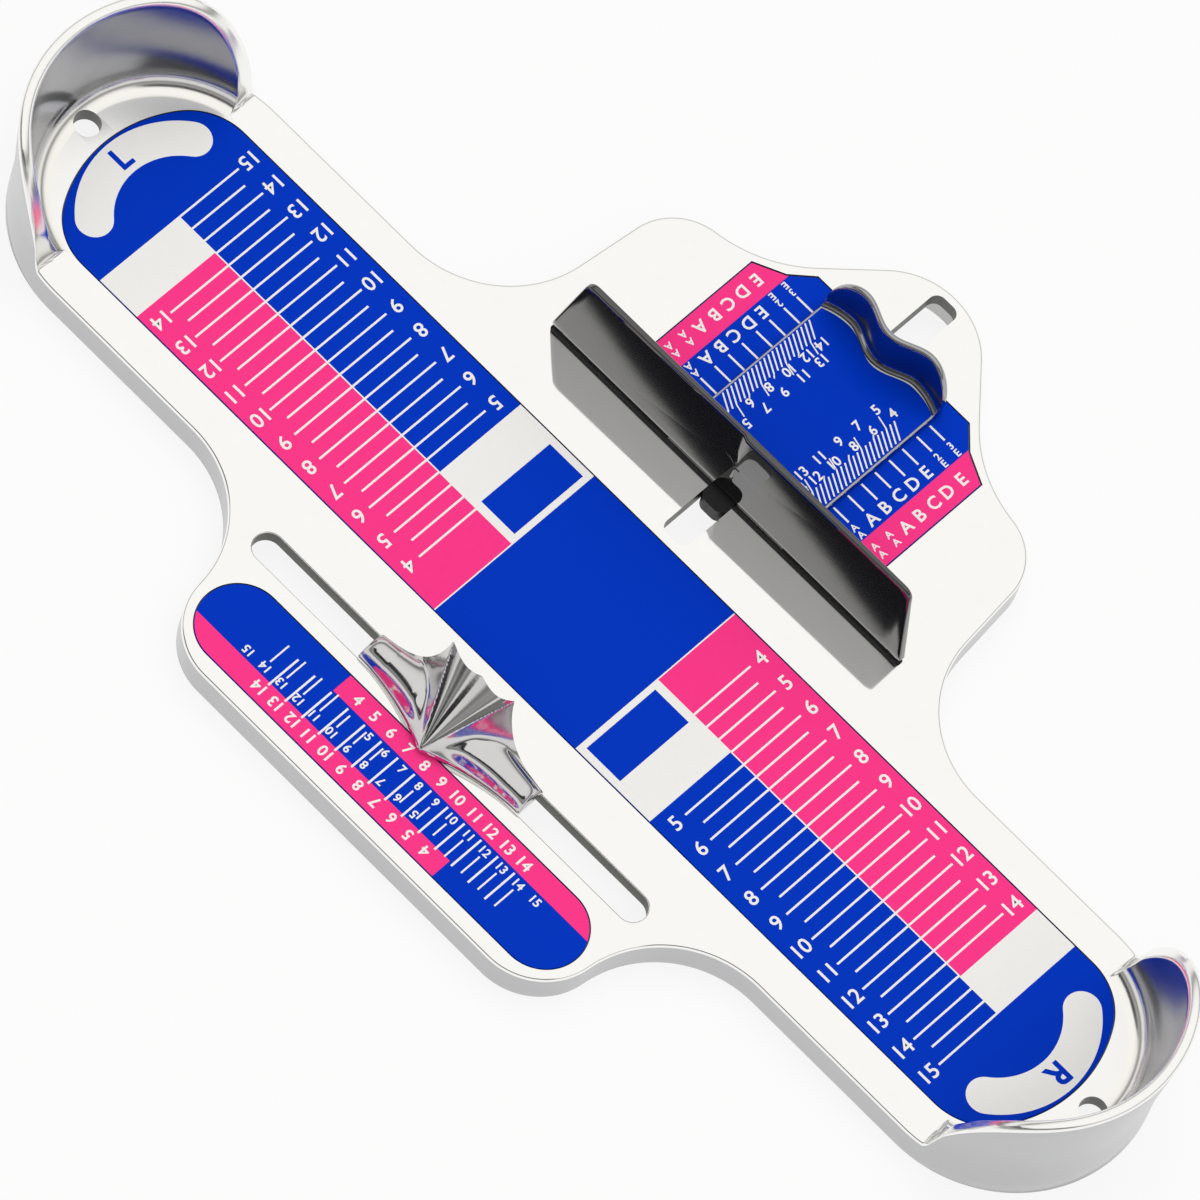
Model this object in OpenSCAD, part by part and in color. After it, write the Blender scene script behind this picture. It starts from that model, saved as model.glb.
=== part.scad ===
// Foot measuring device: a cast base with a heel cup at each end, printed scale
// plates, a width bar that slides across and an arch pointer that slides along.
// Millimetres. +X runs from heel cup to heel cup, +Y points to the width bar's
// side and +Z is up. The origin is on the table, under the middle of the base.
// Inside the modules y = 0 is the middle of the length scale; device() moves
// that line to its place beside the origin.

/* [Base] */
// Distance between the inner faces of the two heel cups
heel_to_heel = 351.2; // [330:0.2:380]
// Width of the base at the heels
heel_w = 74.6; // [70:0.2:84]
// Height of the measuring surface above the table
base_h = 10; // [9.6:0.2:16]
// Thickness of the plate under the measuring surface
plate_t = 4.4; // [3.6:0.2:4.8]
// Thickness of the skirt round the edge
skirt_t = 3; // [2:0.2:4]
// Half length of the two side pads where they leave the narrow part
pad_half_l = 65.8; // [64:0.2:74]
// Half length of the width pad at its shoulders
shoulder_half_l = 64.2; // [62.4:0.2:66]
// Reach of the width pad's shoulders from the middle of the length scale
shoulder_y = 96.3; // [93.5:0.1:100]
// Reach of the width pad's nose from the middle of the length scale
nose_y = 128; // [125:0.5:130]
// Radius at the tip of the nose
nose_r = 22; // [18:0.5:24]
// Fillet where the nose's flanks meet the shoulders
nose_fillet_r = 38; // [30:0.5:40]
// Radius of the width pad's shoulders
shoulder_r = 15.8; // [12:0.2:18]
// Slope where that fillet runs into the shoulder, in degrees
shoulder_slope = 8; // [6:0.5:12]
// Fillet where the pads meet the narrow part
neck_r = 30; // [22:0.5:34]
// Reach of the arch pad from the middle of the length scale
arch_pad_y = 80.5; // [78.5:0.5:90]
// Radius of the arch pad's corners
arch_corner_r = 18; // [12:0.5:20]

/* [Heel cups] */
// Height of a cup's crest above the measuring surface
cup_rise = 33; // [28:0.5:38]
// Thickness of a cup's wall at its foot
cup_wall = 4.7; // [4.2:0.1:5.4]
// Thickness of a cup's wall at its rim
cup_rim_t = 3; // [2:0.2:3.6]
// How far the outside leans out at the crest
cup_flare = 2; // [0:0.2:4]
// Distance from the crest to where the wall meets the plate
cup_reach = 33.3; // [30:0.1:34]
// Fillet between a cup's wall and its floor
cup_fillet = 6.5; // [3:0.5:7]
// Diameter of the round hole in each cup's floor
hole_d = 7; // [5:0.1:9]
// Distance from the heel to the middle of the hole
hole_inset = 5.6; // [5:0.1:8]

/* [Printed plates] */
// Thickness of the printed plates, which lie flush in the base
label_t = 0.6; // [0.4:0.1:1]
// Gap round a plate in its recess
label_gap = 0.3; // [0.2:0.05:0.6]
// Width of the length scale plate
scale_w = 54; // [48:0.5:58]
// Distance from the heel to the end of the length scale plate
scale_end_gap = 12; // [11.5:0.1:16]
// Radius of the length scale plate's ends
scale_end_r = 36; // [32:0.5:44]
// Radius of the length scale plate's corners
scale_corner_r = 17; // [14:0.5:20]
// Width of the arch scale plate
arch_scale_w = 22; // [18:0.5:23]
// Length of the arch scale plate
arch_scale_l = 124; // [110:0.5:126]
// Middle of the arch scale plate from the middle of the length scale
arch_scale_y = 65; // [64.5:0.5:66]
// Half length of the width letter plate
letter_half_l = 39; // [34:0.5:46]
// Reach of the width letter plate at its sides
letter_side_y = 96.5; // [92:0.5:98]
// Reach of the width letter plate in the middle
letter_y = 106; // [102:0.5:108]
// Width of the cut across the letter plate's outer corners
letter_cut_outer = 8; // [4:0.5:12]
// Width of the cut across its inner corners
letter_cut_inner = 5.5; // [3:0.5:10]
// Drop of the outer cut
letter_cut_drop = 4; // [2:0.5:5]

/* [Slots] */
// Width of both slots
slot_w = 8; // [7:0.1:10]
// Start of the width slot from the middle of the length scale
width_slot_from = 29.5; // [28.5:0.5:31]
// Distance from the end of the width slot to the tip of the nose
slot_end_gap = 2.5; // [2.5:0.5:8]
// Middle of the arch slot from the middle of the length scale
arch_slot_y = 45.5; // [43:0.5:47]
// Length of the arch slot
arch_slot_l = 130.6; // [120:0.2:140]

/* [Width slider] */
// Width of the slider
slider_w = 38.8; // [34:0.2:44]
// Thickness of the slider
slider_t = 1.8; // [1.4:0.1:2.4]
// Distance of the bar's face from the middle of the length scale, as stored
bar_y = 47; // [46:0.5:52]
// Reach of the finger tab's two humps
tab_y = 105; // [100:0.5:108]
// Depth of the dip between the humps
tab_dip = 3.4; // [1:0.1:5]
// Distance of each hump from the middle
tab_hump_x = 11; // [8:0.5:13]
// How far the tab draws in at its ends
tab_draw_in = 2; // [1:0.5:6]
// Height of the finger tab's humps above the slider
tab_h = 14; // [10:0.5:18]
// Height of the finger tab's ends above the slider
tab_end_h = 3; // [1:0.5:6]
// Thickness of the finger tab
tab_t = 1.8; // [1:0.1:2.4]
// Thickness of the slider's printed label
slider_label_t = 0.3; // [0.2:0.05:0.5]

/* [Width bar] */
// Length of the bar at its lower edge
bar_l = 118; // [100:1:130]
// Length of the bar at its top edge
bar_top_l = 109; // [90:1:118]
// Height of the bar
bar_h = 26.8; // [20:0.2:32]
// Thickness of the bar
bar_t = 2.6; // [1.6:0.1:3]
// Backward lean of the bar, in degrees
bar_lean = 3; // [0:0.5:6]
// Gap between the bar's lower edge and the guide block under it
bar_gap = 0.1; // [0.1:0.1:1]
// Thickness of the bar's lip in front of the slider
bar_lip_t = 0.8; // [0.6:0.1:1]
// Radius of the bar's corners
bar_corner_r = 3; // [1:0.5:6]
// Depth of the bar's foot on the slider
bar_foot_l = 9; // [7:0.5:12]
// Thickness of the bar's foot
bar_foot_t = 2; // [1.6:0.1:3]
// Diameter of the rivets
rivet_d = 3; // [2:0.1:4]

/* [Arch slider] */
// Length of the arch slider
arch_l = 54; // [46:0.5:62]
// Height of its two peaks above the measuring surface
arch_peak_h = 21; // [16:0.5:26]
// Distance of each peak from the middle
arch_peak_x = 10.3; // [8:0.1:13]
// Height of the middle ridge above the measuring surface
arch_ridge_h = 18; // [13:0.5:22]
// Depth of the back edge's dips between ridge and peaks
arch_dip = 2.5; // [0:0.5:5]
// Depth of the scoops in front of those dips
arch_scoop = 3.5; // [0:0.5:5]
// Height of the arms' ends above the measuring surface
arch_arm_h = 4.5; // [3.5:0.1:7]
// Width of the arms
arch_arm_w = 8.2; // [7.6:0.1:11]
// Reach of the pointer's tip from the middle of the length scale
pointer_y = 56; // [54:0.5:60]
// Place of the back edge from the middle of the length scale
arch_back_y = 38.4; // [37:0.1:40]

/* [Clamps under the base] */
// Running clearance of a guide block in its slot, each side
guide_gap = 0.1; // [0.05:0.05:0.3]
// Gap between sliding faces
slide_gap = 0.3; // [0.2:0.05:0.5]
// Length of the width guide block
width_block_l = 34; // [30:0.5:38]
// How far the width guide block reaches in front of the bar
width_block_lead = 4.5; // [2:0.5:6]
// Length of the arch guide block
arch_block_l = 30; // [26:0.5:36]
// Length of both retainers
retainer_l = 27; // [26:0.5:28]
// Width of both retainers
retainer_w = 16; // [13:0.5:18]
// Thickness of both retainers
retainer_t = 1.2; // [0.8:0.1:1.4]
// Thickness of the friction springs
spring_t = 0.3; // [0.2:0.05:0.4]
// Bow of the friction springs
spring_bow = 0.5; // [0.2:0.05:0.6]
// Diameter of the screws
screw_d = 3.5; // [3:0.1:4]
// Height of a screw head
screw_head_h = 1.6; // [1.2:0.1:1.8]
// Thickness of a washer
washer_t = 0.5; // [0.3:0.1:0.6]
// Thickness of a lock washer
lock_washer_t = 0.5; // [0.3:0.1:0.6]
// Distance between the two screws of a slider
screw_pitch = 17; // [14:0.5:18.5]

/* [Hidden] */
$fn = 64;

// Places on the base
neck_y = heel_w / 2;
cup_wall_r = neck_y - cup_wall;
cup_x = heel_to_heel / 2 - cup_wall_r;
crest_x = cup_x + neck_y + cup_flare;
hole_x = heel_to_heel / 2 - hole_inset;
under_z = base_h - plate_t;
scale_l = heel_to_heel - 2 * scale_end_gap;
middle_y = (nose_y - arch_pad_y) / 2;
width_slot_to = nose_y - slot_end_gap;
slot_corner_r = 2.5;
cut = 1;

// Heights on and in the width slider
slide_z = base_h + slide_gap;
slider_top = slide_z + slider_t;
bar_z = slide_z + bar_gap;
rebate_gap = 0.1;
slider_front_y = bar_y + bar_lip_t + rebate_gap;
foot_y = bar_y + bar_foot_l;
rivet_x = 12;
rivet_y = bar_y + 5.6;
rivet_gap = 0.05;
rivet_head_r = 0.95 * rivet_d;
foot_half_w = slider_w / 2 - 2.3;
label_front_y = foot_y + 1;
label_inset = 0.6;
label_half_w = slider_w / 2 - label_inset;
letter_near_y = foot_y - 7;

// Levels under the base, from the plate down to the screw heads
spring_top = under_z - slide_gap;
retainer_top = spring_top - spring_bow - spring_t;
retainer_z = retainer_top - retainer_t;
washer_z = retainer_z - washer_t;
lock_z = washer_z - lock_washer_t;
head_z = lock_z - screw_head_h;
block_w = slot_w - 2 * guide_gap;
screw_hole_d = screw_d + 0.3;
head_d = 1.85 * screw_d;
washer_d = 2 * screw_d;
foot_l = screw_pitch + screw_hole_d + 1.4;
window_l = foot_l + 0.8;
window_w = block_w + 0.6;
screw_slot_w = 0.8;
screw_slot_h = 0.6;
width_block_y = bar_y - width_block_lead + width_block_l / 2;
retainer_y = slider_front_y + screw_hole_d / 2 + 0.7 + screw_pitch / 2;

polished = [0.86, 0.86, 0.87];
blue = [0.02, 0.22, 0.72];
pink = [1, 0.24, 0.52];
black = [0.04, 0.04, 0.05];
steel = [0.62, 0.63, 0.66];

// Points along an arc
function arc(c, r, from, to, n = 12) =
    [for (i = [0:n]) c + r * [cos(from + (to - from) * i / n), sin(from + (to - from) * i / n)]];

// Half of the base's outline, from the tip of the nose round to the middle of the
// arch pad, drawn in by inset; the arcs run into each other without a corner
function half_outline(inset, reach) =
    let (
        nose = [0, nose_y - nose_r],
        shoulder = [shoulder_half_l - shoulder_r, shoulder_y - shoulder_r],
        turn = 90 - shoulder_slope,
        fillet = shoulder + (shoulder_r + nose_fillet_r) * [cos(turn), sin(turn)],
        towards = fillet - nose,
        flank = atan2(towards.y, towards.x) + acos((nose_r + nose_fillet_r) / norm(towards)),
        neck = [pad_half_l + neck_r, neck_y + neck_r],
        down = neck - shoulder,
        side = atan2(down.y, down.x) + acos((shoulder_r + neck_r) / norm(down)),
        corner = [pad_half_l - arch_corner_r, arch_corner_r - arch_pad_y],
        neck_low_y = -neck_y - neck_r,
        neck_low_x = corner.x + sqrt((neck_r + arch_corner_r) ^ 2 - (neck_low_y - corner.y) ^ 2),
        meet = atan2(neck_low_y - corner.y, neck_low_x - corner.x)
    )
    concat(
        arc(nose, nose_r - inset, 90, flank),
        arc(fillet, nose_fillet_r + inset, 180 + flank, 180 + turn),
        arc(shoulder, shoulder_r - inset, turn, side),
        arc(neck, neck_r + inset, 180 + side, 270),
        [[cup_x + reach, neck_y - inset], [cup_x + reach, inset - neck_y]],
        arc([neck_low_x, neck_low_y], neck_r + inset, 90, 180 + meet),
        arc(corner, arch_corner_r - inset, meet, -90)
    );

module base_outline(inset = 0, reach = 0) {
    half = half_outline(inset, reach);
    last = len(half) - 1;
    polygon(concat(half, [for (i = [last:-1:1]) [-half[i].x, half[i].y]]));
}

module stadium(l, w) {
    square([l - w, w], center = true);
    for (side = [-1, 1])
        translate([side * (l - w) / 2, 0])
            circle(d = w);
}

// Outline of the length scale plate: wide arcs for ends, small ones for corners
module scale_outline(gap = 0) {
    l = scale_l / 2 + gap;
    w = scale_w / 2 + gap;
    end_r = scale_end_r + gap;
    corner_r = scale_corner_r + gap;
    end = [l - end_r, 0];
    corner_y = w - corner_r;
    corner = [end.x + sqrt((end_r - corner_r) ^ 2 - corner_y ^ 2), corner_y];
    meet = atan2(corner_y, corner.x - end.x);
    quarter = concat(arc(end, end_r, 0, meet), arc(corner, corner_r, meet, 90));
    last = len(quarter) - 1;
    polygon(concat(
        quarter,
        [for (i = [last:-1:1]) [-quarter[i].x, quarter[i].y]],
        [for (p = quarter) -p],
        [for (i = [last:-1:1]) [quarter[i].x, -quarter[i].y]]
    ));
}

module rounded(l, w, r) {
    square([l, w - 2 * r], center = true);
    square([l - 2 * r, w], center = true);
    for (x = [-1, 1], y = [-1, 1])
        translate([x * (l / 2 - r), y * (w / 2 - r)])
            circle(r);
}

// Places a part whose y = 0 is the middle of the length scale
module device() {
    translate([0, -middle_y, 0])
        children();
}

module at_width_slider() {
    translate([0, retainer_y, 0])
        rotate(90)
            children();
}

module at_arch_slider() {
    translate([0, -arch_slot_y, 0])
        children();
}

// --- Base ---

// Half turn of plate, skirt and cup wall round the heel
module heel_end() {
    top = base_h + cup_rise;
    floor_r = cup_wall_r - cup_fillet;
    crest_r = neck_y + cup_flare;
    profile = concat(
        [[0, under_z], [neck_y - skirt_t, under_z], [neck_y - skirt_t, 0], [neck_y, 0]],
        [[neck_y, base_h + cup_fillet], [crest_r, top], [crest_r - cup_rim_t, top]],
        arc([floor_r, base_h + cup_fillet], cup_fillet, 0, -90, 8),
        [[0, base_h]]
    );
    translate([cup_x, 0, 0])
        rotate(-90)
            rotate_extrude(angle = 180)
                polygon(profile);
}

// Everything above the rim, which rises from the plate to the crest at the heel
module above_rim() {
    steps = 24;
    start_x = crest_x - cup_reach;
    rim = [for (i = [0:steps]) let (t = i / steps)
        [start_x + cup_reach * t, base_h + cup_rise * (1 - (1 - t) ^ 3.4)]];
    far = [[crest_x + cut, base_h + cup_rise], [crest_x + cut, base_h + cup_rise + cut]];
    near = [[cup_x - cut, base_h + cup_rise + cut], [cup_x - cut, base_h]];
    rotate([90, 0, 0])
        linear_extrude(2 * (neck_y + cup_flare + cut), center = true)
            polygon(concat(rim, far, near));
}

module letter_outline(gap = 0) {
    side = letter_half_l + gap;
    near_y = letter_near_y - gap;
    side_y = letter_side_y + gap;
    far_y = letter_y + gap;
    cut_x = side - letter_cut_outer;
    cut_y = side_y + letter_cut_drop;
    far_x = cut_x - letter_cut_inner;
    polygon([
        [-side, near_y], [side, near_y], [side, side_y], [cut_x, cut_y],
        [far_x, far_y], [-far_x, far_y], [-cut_x, cut_y], [-side, side_y]
    ]);
}

module width_slot(wider = 0) {
    l = width_slot_to - width_slot_from;
    translate([0, width_slot_from + l / 2])
        rotate(90)
            rounded(l + 2 * wider, slot_w + 2 * wider, slot_corner_r + wider);
}

module base() color(polished) device() {
    difference() {
        union() {
            difference() {
                linear_extrude(base_h)
                    base_outline();
                translate([0, 0, -cut])
                    linear_extrude(under_z + cut)
                        base_outline(skirt_t, cut);
            }
            for (side = [0, 1])
                mirror([side, 0, 0])
                    difference() {
                        heel_end();
                        above_rim();
                    }
        }
        translate([0, 0, base_h - label_t]) {
            linear_extrude(label_t + cut)
                scale_outline(label_gap);
            linear_extrude(label_t + cut)
                translate([0, -arch_scale_y])
                    stadium(arch_scale_l + 2 * label_gap, arch_scale_w + 2 * label_gap);
            linear_extrude(label_t + cut)
                letter_outline(label_gap);
        }
        linear_extrude(base_h + cut)
            width_slot();
        linear_extrude(base_h + cut)
            translate([0, -arch_slot_y])
                stadium(arch_slot_l, slot_w);
        for (side = [-1, 1])
            translate([side * hole_x, 0, -cut])
                cylinder(d = hole_d, h = base_h + 2 * cut);
    }
}

// --- Printed plates ---

module length_scale_plate() color(blue) device()
    translate([0, 0, base_h - label_t])
        linear_extrude(label_t)
            scale_outline();

module arch_scale_plate() color(pink) device()
    translate([0, -arch_scale_y, base_h - label_t])
        linear_extrude(label_t)
            stadium(arch_scale_l, arch_scale_w);

module width_letter_plate() color(blue) device()
    translate([0, 0, base_h - label_t])
        linear_extrude(label_t)
            difference() {
                letter_outline();
                width_slot(label_gap);
            }

// --- Width slider ---

// Reach of the finger tab's outer face at x
function tab_face(x) =
    abs(x) < tab_hump_x
        ? tab_y - tab_dip * (1 + cos(180 * x / tab_hump_x)) / 2
        : tab_y - tab_draw_in * ((abs(x) - tab_hump_x) / (slider_w / 2 - tab_hump_x)) ^ 2;

// Height of the finger tab's rim at x
function tab_rim(x) =
    abs(x) < tab_hump_x
        ? slider_top + tab_h
        : slider_top + tab_end_h + (tab_h - tab_end_h)
            * sqrt(max(0, 1 - ((abs(x) - tab_hump_x) / (slider_w / 2 - tab_hump_x)) ^ 2));

tab_xs = [for (i = [-20:20]) i / 20 * slider_w / 2];

module width_slider() color(polished) device() {
    difference() {
        union() {
            translate([0, 0, slide_z])
                linear_extrude(slider_t)
                    polygon(concat(
                        [[slider_w / 2, slider_front_y], [-slider_w / 2, slider_front_y]],
                        [for (x = tab_xs) [x, tab_face(x)]]
                    ));
            intersection() {
                translate([0, 0, slide_z])
                    linear_extrude(tab_h + slider_t + cut)
                        polygon(concat(
                            [for (x = tab_xs) [x, tab_face(x)]],
                            [for (i = [40:-1:0]) [tab_xs[i], tab_face(tab_xs[i]) - tab_t]]
                        ));
                rotate([90, 0, 0])
                    translate([0, 0, -tab_y - cut])
                        linear_extrude(tab_y)
                            polygon(concat(
                                [[slider_w / 2, slide_z], [-slider_w / 2, slide_z]],
                                [for (x = tab_xs) [x, tab_rim(x)]]
                            ));
            }
        }
        for (side = [-1, 1])
            translate([side * rivet_x, rivet_y, slide_z - cut])
                cylinder(d = rivet_d + 2 * rivet_gap, h = slider_t + 2 * cut);
        at_width_slider()
            screw_holes(slide_z - cut, slider_t - 0.2 + cut);
    }
}

module width_scale_label() color(blue) device()
    translate([0, 0, slider_top])
        linear_extrude(slider_label_t)
            polygon(concat(
                [[label_half_w, label_front_y], [-label_half_w, label_front_y]],
                [for (x = tab_xs) [x * label_half_w * 2 / slider_w, tab_face(x) - tab_t - label_inset]]
            ));

module width_bar() color(black) device() {
    difference() {
        union() {
            translate([0, bar_y, bar_z])
                rotate([90 - bar_lean, 0, 0])
                    translate([0, 0, -bar_t])
                        linear_extrude(bar_t)
                            bar_face();
            translate([-foot_half_w, bar_y + 0.5, slider_top])
                cube([2 * foot_half_w, bar_foot_l - 0.5, bar_foot_t]);
        }
        translate([-slider_w / 2 - rebate_gap, bar_y + bar_lip_t, slide_z])
            cube([slider_w + 2 * rebate_gap, bar_foot_l, slider_t]);
        for (side = [-1, 1])
            translate([side * rivet_x, rivet_y, slider_top - cut])
                cylinder(d = rivet_d + 2 * rivet_gap, h = bar_foot_t + 2 * cut);
    }
}

// Face of the bar: longer below than above, with rounded corners
module bar_face() {
    r = bar_corner_r;
    for (side = [0, 1])
        mirror([side, 0])
            polygon(concat(
                [[0, 0], [bar_l / 2 - 1, 0], [bar_l / 2, 1]],
                arc([bar_top_l / 2 - r, bar_h - r], r, 10, 90, 6),
                [[0, bar_h]]
            ));
}

module width_bar_rivets() color(steel) device()
    for (side = [-1, 1])
        translate([side * rivet_x, rivet_y, slide_z]) {
            cylinder(d = rivet_d, h = slider_t + bar_foot_t);
            translate([0, 0, slider_t + bar_foot_t])
                rotate_extrude()
                    polygon(concat([[0, 0]], arc([0, -0.4], rivet_head_r, 8, 90, 6)));
        }

// --- Clamps under the base ---
// Drawn along X round their own middle, then turned and placed under a slider

module screw_holes(z, h, d = screw_hole_d) {
    for (side = [-1, 1])
        translate([side * screw_pitch / 2, 0, z])
            cylinder(d = d, h = h);
}

// Long in the slot, with a shorter foot that passes through the friction spring
module guide_block(l, offset_x, corner_r) {
    difference() {
        union() {
            translate([offset_x, 0, under_z])
                linear_extrude(slide_z - under_z)
                    rounded(l, block_w, corner_r);
            translate([0, 0, retainer_top])
                linear_extrude(slide_z - retainer_top)
                    rounded(foot_l, block_w, corner_r);
        }
        screw_holes(retainer_top - cut, slide_z - retainer_top + 2 * cut);
    }
}

// Leaf bowed along its length, with a window for the guide block
module friction_spring() {
    half = retainer_l / 2 - 0.5;
    bow_r = (half ^ 2 + spring_bow ^ 2) / (2 * spring_bow);
    sweep = asin(half / bow_r);
    centre = [0, spring_top - spring_t - bow_r];
    difference() {
        rotate([90, 0, 0])
            linear_extrude(retainer_w - 1, center = true)
                polygon(concat(
                    arc(centre, bow_r + spring_t, 90 + sweep, 90 - sweep),
                    arc(centre, bow_r, 90 - sweep, 90 + sweep)
                ));
        translate([0, 0, retainer_top - cut])
            linear_extrude(spring_bow + spring_t + 2 * cut)
                square([window_l, window_w], center = true);
    }
}

module retainer() {
    difference() {
        translate([0, 0, retainer_z])
            linear_extrude(retainer_t)
                rounded(retainer_l, retainer_w, 3);
        screw_holes(retainer_z - cut, retainer_t + 2 * cut);
    }
}

module washers() {
    for (side = [-1, 1])
        translate([side * screw_pitch / 2, 0, washer_z])
            difference() {
                cylinder(d = washer_d, h = washer_t);
                translate([0, 0, -cut])
                    cylinder(d = screw_hole_d, h = washer_t + 2 * cut);
            }
}

// Split rings
module lock_washers() {
    for (side = [-1, 1])
        translate([side * screw_pitch / 2, 0, lock_z])
            rotate_extrude(angle = 345)
                translate([screw_hole_d / 2, 0])
                    square([head_d / 2 - screw_hole_d / 2, lock_washer_t]);
}

// Pan heads with a straight slot, shanks up to z
module screws(z) {
    for (side = [-1, 1])
        translate([side * screw_pitch / 2, 0, head_z])
            difference() {
                union() {
                    cylinder(d = head_d, h = screw_head_h);
                    cylinder(d = screw_d, h = z - head_z);
                }
                cube([head_d + cut, screw_slot_w, 2 * screw_slot_h], center = true);
            }
}

module width_guide_block() color(black) device()
    at_width_slider()
        guide_block(width_block_l, width_block_y - retainer_y, slot_corner_r);

module width_friction_spring() color(steel) device()
    at_width_slider()
        friction_spring();

module width_retainer() color(steel) device()
    at_width_slider()
        retainer();

module width_screws() color(steel) device()
    at_width_slider()
        screws(slider_top - 0.6);

module width_washers() color(steel) device()
    at_width_slider()
        washers();

module width_lock_washers() color(steel) device()
    at_width_slider()
        lock_washers();

// --- Arch slider ---

arch_front_y = -arch_slot_y - arch_arm_w / 2;
arch_screw_depth = 3.2;

// Front edge: the pointer's tip in the middle, drawn back to the arms
function arch_front(x) =
    arch_front_y - (pointer_y + arch_front_y) * (1 - abs(x) / (arch_l / 2)) ^ 1.9;

// Back edge: straight behind the peaks, drawn in along the arms
function arch_back(x) =
    let (t = max(0, (abs(x) - arch_peak_x) / (arch_l / 2 - arch_peak_x)))
    -arch_back_y - (arch_slot_y - arch_arm_w / 2 - arch_back_y) * sqrt(t);

// Height of the back edge: ridge, dips, peaks and the fall to the arms
function arch_crown(x) =
    abs(x) < arch_peak_x
        ? arch_ridge_h + (arch_peak_h - arch_ridge_h) * abs(x) / arch_peak_x
            - arch_dip * sin(180 * abs(x) / arch_peak_x)
        : arch_arm_h + (arch_peak_h - arch_arm_h)
            * (1 - (abs(x) - arch_peak_x) / (arch_l / 2 - arch_peak_x)) ^ 1.3;

// Height of the front edge
function arch_lip(x) = 1.2 + (arch_arm_h - 2.2) * abs(x) / (arch_l / 2);

// Height at the share s of the way back from the front edge
function arch_height(x, s) =
    let (across = sin(180 * min(1, abs(x) / arch_peak_x)))
    arch_lip(x) + (arch_crown(x) - arch_lip(x)) * s ^ 1.2 - arch_scoop * across * sin(180 * s);

module arch_body() {
    nx = 44;
    ny = 10;
    row = ny + 2;
    points = [
        for (i = [0:nx]) let (x = arch_l * (i / nx - 0.5))
            for (j = [-1:ny])
                let (s = max(0, j) / ny, y = arch_front(x) + (arch_back(x) - arch_front(x)) * s)
                    j < 0
                        ? [x, y, slide_z]
                        : [x, y, base_h + max(0.8, arch_height(x, s))],
        for (i = [0:nx]) let (x = arch_l * (i / nx - 0.5))
            [x, arch_back(x), slide_z]
    ];
    foot = (nx + 1) * row;
    top = [
        for (i = [0:nx - 1], j = [0:row - 2]) let (a = i * row + j, b = a + row)
            each [[a, a + 1, b + 1], [a, b + 1, b]]
    ];
    back = [
        for (i = [0:nx - 1]) let (a = i * row + row - 1, b = a + row)
            each [[a, foot + i, foot + i + 1], [a, foot + i + 1, b]]
    ];
    bottom = [
        for (i = [0:nx - 1]) let (a = i * row, b = a + row)
            each [[a, b, foot + i + 1], [a, foot + i + 1, foot + i]]
    ];
    ends = [
        [for (j = [0:row - 1]) row - 1 - j, foot],
        [for (j = [0:row - 1]) nx * row + j, foot + nx]
    ];
    polyhedron(points, concat(top, back, bottom, ends));
}

module arch_slider() color(polished) device()
    difference() {
        arch_body();
        at_arch_slider()
            screw_holes(slide_z - cut, arch_screw_depth + cut);
    }

module arch_guide_block() color(black) device()
    at_arch_slider()
        guide_block(arch_block_l, 0, block_w / 2 - 0.1);

module arch_friction_spring() color(steel) device()
    at_arch_slider()
        friction_spring();

module arch_retainer() color(steel) device()
    at_arch_slider()
        retainer();

module arch_screws() color(steel) device()
    at_arch_slider()
        screws(slide_z + arch_screw_depth - 0.6);

module arch_washers() color(steel) device()
    at_arch_slider()
        washers();

module arch_lock_washers() color(steel) device()
    at_arch_slider()
        lock_washers();

base();
length_scale_plate();
arch_scale_plate();
width_letter_plate();
width_slider();
width_scale_label();
width_bar();
width_bar_rivets();
width_guide_block();
width_friction_spring();
width_retainer();
width_screws();
width_washers();
width_lock_washers();
arch_slider();
arch_guide_block();
arch_friction_spring();
arch_retainer();
arch_screws();
arch_washers();
arch_lock_washers();
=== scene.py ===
from itertools import accumulate
from math import acos, asin, atan2, cos, degrees, dist, exp, pi, radians, sin, sqrt

import bmesh
import bpy
from mathutils import Matrix, Quaternion, Vector
from mathutils.geometry import tessellate_polygon


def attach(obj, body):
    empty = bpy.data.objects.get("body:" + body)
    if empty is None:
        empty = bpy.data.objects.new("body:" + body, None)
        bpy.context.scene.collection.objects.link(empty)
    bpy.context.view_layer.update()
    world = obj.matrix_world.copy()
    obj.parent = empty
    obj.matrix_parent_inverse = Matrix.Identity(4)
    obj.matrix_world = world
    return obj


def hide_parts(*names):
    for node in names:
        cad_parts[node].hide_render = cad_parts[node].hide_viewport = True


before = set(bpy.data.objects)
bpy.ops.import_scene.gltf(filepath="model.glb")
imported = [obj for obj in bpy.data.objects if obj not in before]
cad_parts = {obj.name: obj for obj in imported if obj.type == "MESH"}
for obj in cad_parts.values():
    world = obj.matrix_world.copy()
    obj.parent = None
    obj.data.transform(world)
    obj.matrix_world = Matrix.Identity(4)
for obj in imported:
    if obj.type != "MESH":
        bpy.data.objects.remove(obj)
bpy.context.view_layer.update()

# Sizes are in millimetres. y = 0 is the middle of the length scale, z = 0 the table.
MM = 1000
MIDDLE_Y = 23.75  # y of the frame's origin
TOP = 10.0  # measuring surface
UNDER = 5.6  # underside of the base's plate
PLATE_LOW = 9.4  # underside of the printed plates
PLATE_EDGE = 0.12
SLIDE_Z = 10.3  # underside of both sliders
SLIDER_TOP = 12.1
CUP_X = 143.0  # middle of a heel circle
HEEL_R = 37.3
HOLE_X = 170.0


# ---- mesh helpers

MERGE = 2e-7  # metres
SHARP = 35  # degrees
SAME = 1e-4
MITRE = 0.3
EDGE_STEPS = 3


def place(p):
    """Millimetres of this script to metres of the frame."""
    return Vector((p[0] / MM, (p[1] - MIDDLE_Y) / MM, p[2] / MM))


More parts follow.
